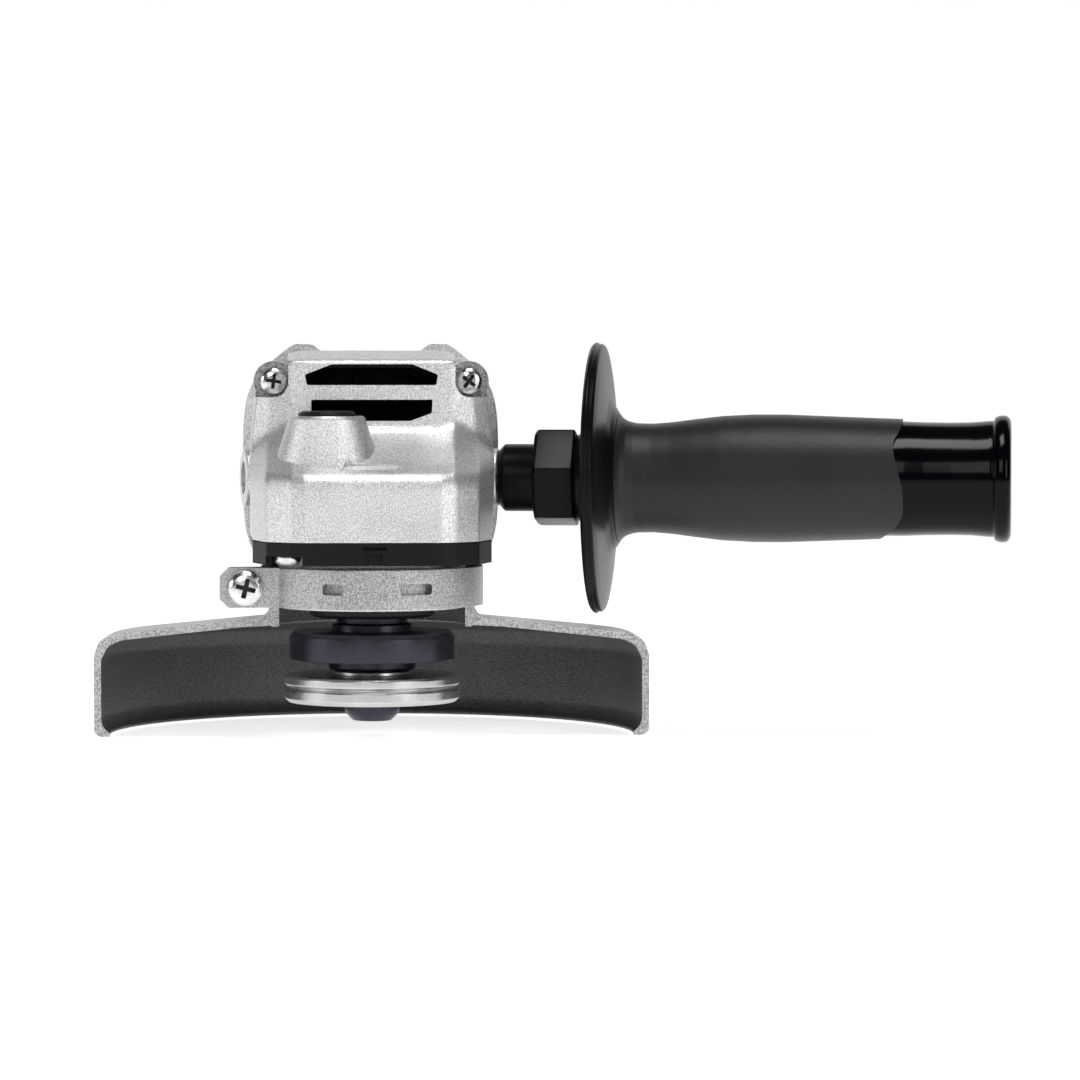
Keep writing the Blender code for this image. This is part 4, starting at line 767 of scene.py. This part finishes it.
def guard_paint(face):
    """The side that faces the wheel, and faces looking down under the top, are dark as painted shade."""
    centre = face.calc_center_median()
    outwards = Vector((centre.x, centre.y, 0)).normalized()
    side = face.normal.dot(outwards)
    radius = math.hypot(centre.x, centre.y)
    under = face.normal.z < -0.3 and centre.z > 0
    return 1 if radius > 26.5 and (side < -0.4 or under) else 0


def clamp_band():
    inner, thick, low, high = 26.3, 2.1, 29.7, 39.7
    outer = inner + thick
    front = -math.sqrt(outer**2 - 23.5**2)
    back = front + thick + 4.0
    face = [(-38.5, low + 2.2), (-36.3, low), (-20.5, low), (-20.5, high), (-36.3, high), (-38.5, high - 2.2)]
    behind = [(x if x < -21 else -23.0, z) for x, z in face]
    middle = (low + high) / 2
    windows = [
        prism([(a, middle - 1.4), (b, middle - 1.4), (b, middle + 1.4), (a, middle + 1.4)],
              -outer - 2, -15, "Y", ease=0.9)
        for a, b in ((-12.6, -7.4), (6.8, 14.8))
    ]
    shape = carved(
        turned(((inner, low), (outer, low), (outer, high), (inner, high)), ease=0.3, steps=128),
        ("UNION", prism(face, front, front + thick, "Y")),
        ("UNION", prism(behind, back, back + thick, "Y")),
        ("DIFFERENCE", rod(inner, low - 1, high + 1, steps=128)),
        ("DIFFERENCE", block((-39.5, -inner * 0.6), (front + thick, back), (low - 1, high + 1))),
        ("DIFFERENCE", rod(2.7, front - 2, back + thick + 2, (-31.9, 0, middle), "Y")),
        ("DIFFERENCE", joined(windows)),
    )
    piece("guard_clamp_strip", shape, "guard_outside", "guard_steel", "clamp_band", edge=0.25)


def clamp_fixings():
    pan_screw("clamp_screw", "Y", 2.4, 4.6, 2.9, turn=14)
    low, high = cad_box_mm("clamp_square_nut")
    centre = (low + high) / 2
    nut = carved(
        block(*zip(low, high), ease=0.5),
        ("DIFFERENCE", rod(2.7, low.y - 1, high.y + 1, (centre.x, 0, centre.z), "Y", 32)),
    )
    piece("clamp_nut_square", nut, "zinc", "zinc_steel", "clamp_square_nut", edge=0.15)


# ---------------------------------------------------------------- spindle group


def spindle_group():
    spindle = ((0, 0), (4.9, 0), (6.6, 1.7), (7.0, 2.6), (7.0, 25.0), (9.0, 25.0), (9.0, 33.5),
               (6.0, 33.5), (6.0, 62.6), (4.5, 62.6), (4.5, 72.6), (0, 72.6))
    shape = turned(spindle, ease=0.2)
    piece("spindle_turned", shape, "blackened", "dark_steel", "spindle")
    flange = ((7.3, 13.0), (10.6, 13.0), (11.1, 13.5), (11.1, 15.7), (21.1, 15.7), (21.1, 21.7), (20.0, 22.9),
              (10.2, 22.9), (10.2, 24.7), (7.3, 24.7))
    piece("inner_flange_turned", turned(flange, ease=0.3), "blackened", "dark_steel", "inner_flange")
    groove = 8.9
    nut = ((7.3, 4.8), (8.2, 4.8), (8.8, 5.4), (20.6, 5.4), (21.2, 4.8), (22.4, 5.9), (22.4, groove - 0.7),
           (21.6, groove), (22.4, groove + 0.7), (22.4, 11.3), (21.9, 11.8), (9.7, 11.8),
           (9.7, 12.7), (7.3, 12.7))
    holes = [rod(2.5, 3.8, 9.3, (side * 15, 0, 0), steps=32) for side in (-1, 1)]
    piece("clamp_nut_turned", carved(turned(nut, ease=0.25), ("DIFFERENCE", joined(holes))),
          "turned_zinc", "zinc_steel", "clamp_nut", edge=0.12)
    cover = ((9.3, 26.6), (15.2, 26.6), (16.0, 27.4), (16.0, 33.5), (9.3, 33.5))
    piece("bearing_retainer_turned", turned(cover, ease=0.3), "plastic", "black_plastic", "bearing_retainer")


# ---------------------------------------------------------------- side handle


def hexagon(radius, low, high):
    """A six-sided nut shape with chamfered corners."""
    outline = [(radius * math.cos(math.radians(60 * i + 10)), radius * math.sin(math.radians(60 * i + 10)))
               for i in range(6)]
    shape = prism(outline, low, high)
    dome = turned(((0, low - 1), (radius * 0.9, low), (radius, low + 1.2), (radius, high + 1), (0, high + 1)))
    return carved(eased(shape, 0.5, 3, 40), ("INTERSECT", dome))


def handle_core():
    disc = (
        (11.6, -4.0), (12.8, -2.0), (16.0, -2.0), (24.0, -2.6), (32.0, -3.2), (34.0, -3.1), (34.8, -2.4),
        (34.9, -1.7), (34.3, -1.2), (34.6, -0.7), (34.0, 0.0), (31.0, 0.6), (25.0, 1.4), (21.0, 1.9),
        (18.6, 2.6), (17.0, 3.7),
    )
    profile = (
        (4.15, 0.3), (7.2, 0.3), (8.7, 1.7), (8.7, 9.7), (10.8, 9.7), (10.8, 20.2), (11.2, 20.8),
        *[(radius, DISC_AT + rise) for radius, rise in disc],
        (9.0, DISC_AT + 3.4), (9.0, GRIP_END + 14), (0, GRIP_END + 14), (0, 48.0), (4.15, 48.0),
    )
    core = turned(profile, ease=0.35, steps=128)
    shape = carved(core, ("UNION", hexagon(13.3, 9.75, 20.2)))
    piece("side_handle_core", on_boss(1, shape), "handle_plastic", "black_plastic", "handle_core", smooth=36)


def grip_edge(past):
    """A slab whose near side is the wavy line where the soft grip ends."""
    curve = ((16.8, 104.7), (14.0, 103.6), (10.9, 101.9), (6.2, 102.7), (3.1, 103.6), (-1.0, 104.4),
             (-6.2, 104.4), (-9.4, 103.2), (-11.6, 101.4), (-15.4, 97.9), (-17.0, 96.6))
    points = [(s + past, z) for z, s in smooth_path(curve, 6)]
    outline = [(140.0, 30.0), (points[0][0], 30.0), *points, (points[-1][0], -30.0), (140.0, -30.0)]
    return prism([(-z, s) for s, z in outline], -40, 40, "Y")


def smooth_path(points, steps):
    """A Catmull-Rom curve through the points."""
    spots = [Vector(point) for point in (points[0], *points, points[-1])]
    path = []
    for a, b, c, d in zip(spots, spots[1:], spots[2:], spots[3:]):
        for i in range(steps):
            t = i / steps
            bend = (a * 2 - b * 5 + c * 4 - d) * t**2
            path.append((b * 2 + (c - a) * t + bend + (b * 3 - a - c * 3 + d) * t**3) / 2)
    return [tuple(spot) for spot in (*path, spots[-1])]


def grip_sleeve():
    near = DISC_AT + 3.7
    profile = (
        (9.3, near), (16.9, near), (15.6, near + 0.9), (14.7, near + 2.3), (14.1, near + 4.6), (14.0, 40.0),
        (14.4, 45.0), (15.2, 51.0), (16.0, 58.0), (16.4, 66.0), (16.4, 74.0), (16.1, 82.0), (15.8, 90.0),
        (15.5, 98.0), (15.3, GRIP_END), (14.8, GRIP_END), (14.8, 93.0), (9.3, 93.0),
    )
    sleeve = carved(turned(profile, ease=0.6, steps=128), ("DIFFERENCE", grip_edge(0.0)))
    piece("side_handle_grip", on_boss(1, sleeve), "grip", "soft_rubber", "grip_sleeve", edge=0.2, smooth=40)


def handle_end():
    near, far = 93.3, HANDLE_END
    profile = (
        (9.3, near), (14.7, near), (14.7, GRIP_END), (14.5, GRIP_END + 5), (14.4, far - 15.0),
        (14.5, far - 10.0), (14.9, far - 5.4), (14.8, far - 4.5), (15.7, far - 4.3), (16.2, far - 3.2),
        (16.3, far - 2.0), (16.1, far - 1.0), (15.2, far - 0.2), (13.8, far), (0, far),
        (0, GRIP_END + 14.3), (9.3, GRIP_END + 14.3),
    )
    shape = on_boss(1, turned(profile, ease=0.5, steps=128))
    piece("side_handle_cap", shape, "gloss", "gloss_plastic", "handle_end")


# ---------------------------------------------------------------- motor case and rear handle


def motor_housing():
    front, rear = HEAD_REAR + 0.3, 136.0
    steps = ((front, 33.1, 30.3, 4.0), (50.0, 33.1, 30.3, 4.0), (54.0, 32.5, 30.3, 3.4),
             (58.0, 31.2, 30.3, 2.5), (61.0, 30.5, 30.3, 2.05), (rear - 3, 30.5, 30.3, 2.0),
             (rear - 2.6, 29.9, 29.7, 2.0), (rear, 29.9, 29.7, 2.0))
    outside = loft([oval(a, b, power, y, MOTOR_Z) for y, a, b, power in steps])
    hollow = loft([oval(28.1, 27.8, 2.0, y, MOTOR_Z) for y in (front - 1, 60.0, 124.0)])
    openings = [
        prism([(26 * math.cos(a), MOTOR_Z + 26 * math.sin(a)) for a in arc(start, start + 140, 15)]
              + [(15 * math.cos(a), MOTOR_Z + 15 * math.sin(a)) for a in arc(start + 140, start, 15)],
              123.0, 137.0, "Y")
        for start in (20, 200)
    ]
    screws = [
        rod(2.4, HEAD_REAR - 1, 51.5,
            (side * HOUSING_SCREW_X, 0, MOTOR_Z + up * HOUSING_SCREW_RISE), "Y", 24)
        for side in (-1, 1) for up in (-1, 1)
    ]
    shape = carved(
        outside,
        ("DIFFERENCE", hollow),
        ("DIFFERENCE", rod(11.3, 122.0, 131.3, (0, 0, MOTOR_Z), "Y")),
        ("DIFFERENCE", rod(6.0, 130.0, 137.0, (0, 0, MOTOR_Z), "Y")),
        ("DIFFERENCE", joined(openings)),
        ("DIFFERENCE", block((-28.4, -24.0), (122.0, 137.0), (59.4, 68.6))),
        ("DIFFERENCE", block((-34.0, -26.0), (74.0, 101.0), (60.6, 67.4))),
        ("DIFFERENCE", joined(screws)),
        ("DIFFERENCE", joined(intake_slots())),
    )
    piece("motor_case", shape, "plastic", "black_plastic", "motor_housing", edge=0.3, smooth=30)


def arc(start, end, count):
    return [math.radians(start + (end - start) * i / (count - 1)) for i in range(count)]


def intake_slots():
    slots = []
    for side in (-1, 1):
        for up in (-1, 1):
            for number in range(3):
                z = MOTOR_Z + up * (9.0 + 4.4 * number)
                x = sorted((side * 20.0, side * 34.0))
                slots.append(eased(block(x, (108.0, 121.0), (z - 1.1, z + 1.1)), 0.5, 2, 60))
    return slots


REAR_SECTIONS = (
    (136.3, 29.9, 29.9, 64.0), (137.8, 30.5, 30.5, 64.0), (150.0, 30.4, 30.4, 64.0),
    (158.0, 27.9, 28.8, 63.3), (166.0, 25.0, 27.0, 62.5), (183.0, 23.6, 26.3, 61.2),
    (200.0, 23.0, 26.0, 60.0), (216.0, 23.5, 27.0, 58.9), (228.0, 24.0, 28.0, CORD_Z),
    (234.5, 22.9, 27.0, CORD_Z), (238.0, 19.6, 23.6, CORD_Z),
)
REAR_SCREWS = ((158.0, 76.0), (196.0, 48.0), (226.0, 70.0))


def rear_half(name, node, side):
    outside = loft([oval(a, b, 2.3, y, z) for y, a, b, z in REAR_SECTIONS])
    hollow = [oval(a - 2.5, b - 2.5, 2.3, y, z) for y, a, b, z in REAR_SECTIONS[1:-1]]
    hollow[0] = [(x, 135.0, z) for x, _, z in hollow[0]]
    half = sorted((-side * 60, side * 0.15))
    low, high = cad_box_mm(node)
    reach = max(abs(low.x), abs(high.x)) - 9.0
    span = sorted((side * 0.15, side * min(reach, 19.0)))
    posts = [rod(3.6, *span, (0, y, z), "X", 32) for y, z in REAR_SCREWS]
    bores = [rod(1.8, -16, 60, (0, y, z), "X", 24) for y, z in REAR_SCREWS]
    steps = [
        ("DIFFERENCE", loft(hollow)),
        ("DIFFERENCE", block(half, (100, 300), (0, 120))),
        ("UNION", joined(posts)),
        ("DIFFERENCE", rod(7.3, 225, 241, (0, 0, CORD_Z), "Y")),
        ("DIFFERENCE", joined(bores)),
    ]
    if side > 0:
        wells = [rod(3.4, 14.0, 60, (0, y, z), "X", 32) for y, z in REAR_SCREWS]
        steps.append(("DIFFERENCE", joined(wells)))
    piece(name, carved(outside, *steps), "plastic", "black_plastic", node, edge=0.25, smooth=30)


def switch_button():
    """A sliding thumb button with grip ridges."""
    cap = block((-33.3, -31.0), (79.0, 101.0), (57.0, 71.0))
    eased(cap, 0.8, 3, 60)
    ridges = [block((-34.0, -32.7), (y - 0.5, y + 0.5), (59.5, 68.5)) for y in range(83, 99, 3)]
    shape = carved(cap, ("UNION", block((-31.5, -27.6), (84.0, 96.0), (61.0, 67.0))),
                   ("DIFFERENCE", joined(ridges)))
    piece("switch_thumb_button", shape, "plastic", "black_plastic", "switch_button", edge=0.15)


def cord_inlet():
    """A short ribbed sleeve."""
    ribs = []
    for number in range(6):
        y = 242.5 + 3.0 * number
        radius = 8.4 - 0.42 * number
        ribs += [(radius, y), (radius, y + 1.7), (radius - 1.1, y + 1.9), (radius - 1.1, y + 2.9)]
    profile = [(4.4, 232.0), (9.6, 232.0), (9.6, 235.2), (7.0, 235.2), (7.0, 238.3), (8.6, 238.3),
               (8.6, 241.2), (7.3, 241.6), *ribs, (5.8, 261.0), (5.5, 262.0), (4.4, 262.0)]
    shape = turned(profile, (0, 0, CORD_Z), "Y", ease=0.3)
    piece("cord_inlet_sleeve", shape, "grip", "soft_rubber", "cord_inlet")


# ---------------------------------------------------------------- inner pieces keep their CAD shape


INNER = {
    "steel": "armature_shaft drive_gear pinion pinion_nut front_bearing rear_bearing lock_pin lock_spring "
             "left_brush_spring right_brush_spring spindle_bearing_balls spindle_bearing_inner_race "
             "spindle_bearing_outer_race",
    "zinc": "handle_stud rear_screw_1 rear_screw_2 rear_screw_3",
    "sheets": "armature_core stator_core",
    "copper": "armature_windings field_coil_lower field_coil_upper",
    "commutator": "commutator",
    "brass": "needle_bush left_brush_holder right_brush_holder",
    "carbon": "left_brush right_brush",
    "plastic": "fan fan_baffle switch_rod switch_unit",
}


def dress_inner_nodes():
    for look, nodes in INNER.items():
        for node in nodes.split():
            mesh = frame["nodes"][node].data
            mesh.materials.clear()
            mesh.materials.append(LOOKS[look])


# ---------------------------------------------------------------- stage


def stage():
    """A pale seamless floor, and soft light from above and both sides."""
    floor_z = cad_box[0].z - 0.0006
    shape = bmesh.new()
    corners = [(x, y, floor_z) for x, y in ((-4, -3), (4, -3), (4, 2.2), (-4, 2.2))]
    verts, _ = outline_loop(shape, corners)
    shape.faces.new(verts)
    back = [edge for edge in shape.edges if all(vert.co.y > 2 for vert in edge.verts)]
    for rise, run in ((0.12, 0.5), (0.38, 0.4), (0.6, 0.22), (2.2, 0.0)):
        grown = bmesh.ops.extrude_edge_only(shape, edges=back)["geom"]
        moved = [item for item in grown if isinstance(item, bmesh.types.BMVert)]
        back = [item for item in grown if isinstance(item, bmesh.types.BMEdge)]
        bmesh.ops.translate(shape, vec=(0, run, rise), verts=moved)
    mesh = bpy.data.meshes.new("floor")
    shape.to_mesh(mesh)
    mesh.shade_smooth()
    floor = bpy.data.objects.new("floor", mesh)
    bpy.context.scene.collection.objects.link(floor)
    paper = Finish("pale_floor")
    paper.shader.inputs["Base Color"].default_value = (0.9, 0.9, 0.9, 1)
    paper.shader.inputs["Roughness"].default_value = 0.9
    paper.shader.inputs["Emission Color"].default_value = (1, 1, 1, 1)
    paper.shader.inputs["Emission Strength"].default_value = 0.72
    mesh.materials.append(paper.material)
    for name, at, size, power in (
        ("left", (-1.35, -0.30, 0.40), 0.5, 2.7),
        ("right", (1.0, -1.05, 0.45), 0.6, 4.5),
        ("front", (-0.35, -1.4, 0.75), 0.6, 3.4),
        ("top", (0.08, -0.22, 1.0), 0.35, 4.8),
    ):
        lamp = bpy.data.objects.new(name, bpy.data.lights.new(name, "AREA"))
        lamp.data.size = size
        lamp.data.energy = power
        lamp.location = at
        lamp.rotation_euler = (Vector((0.03, 0.03, 0.05)) - Vector(at)).to_track_quat("-Z", "Y").to_euler()
        bpy.context.scene.collection.objects.link(lamp)
    world = bpy.data.worlds.new("studio")
    world.use_nodes = True
    tree = world.node_tree
    lighting = tree.nodes["Background"]
    lighting.inputs["Color"].default_value = (1, 1, 1, 1)
    lighting.inputs["Strength"].default_value = 0.06
    seen = tree.nodes.new("ShaderNodeBackground")
    seen.inputs["Color"].default_value = (1, 1, 1, 1)
    either = tree.nodes.new("ShaderNodeMixShader")
    path = tree.nodes.new("ShaderNodeLightPath")
    tree.links.new(path.outputs["Is Camera Ray"], either.inputs["Fac"])
    tree.links.new(lighting.outputs["Background"], either.inputs[1])
    tree.links.new(seen.outputs["Background"], either.inputs[2])
    tree.links.new(either.outputs["Shader"], tree.nodes["World Output"].inputs["Surface"])
    bpy.context.scene.world = world
    bpy.context.scene.view_settings.view_transform = "Standard"


def camera():
    spot, aim = Vector((-0.010, -1.150, 0.0934)), Vector((0.043, 0.0, 0.046))
    cam = bpy.data.objects.new("camera", bpy.data.cameras.new("camera"))
    cam.location = spot
    cam.rotation_euler = (aim - spot).to_track_quat("-Z", "Y").to_euler()
    cam.data.lens = 150
    cam.data.sensor_width = 36
    bpy.context.scene.collection.objects.link(cam)
    bpy.context.scene.camera = cam


stage()
camera()
gear_housing()
head_screws()
lock_button()
flange_cover()
bearing_flange()
guard()
clamp_band()
clamp_fixings()
spindle_group()
handle_core()
grip_sleeve()
handle_end()
motor_housing()
rear_half("rear_handle_shell_left", "rear_handle_left", -1)
rear_half("rear_handle_shell_right", "rear_handle_right", 1)
switch_button()
cord_inlet()
dress_inner_nodes()
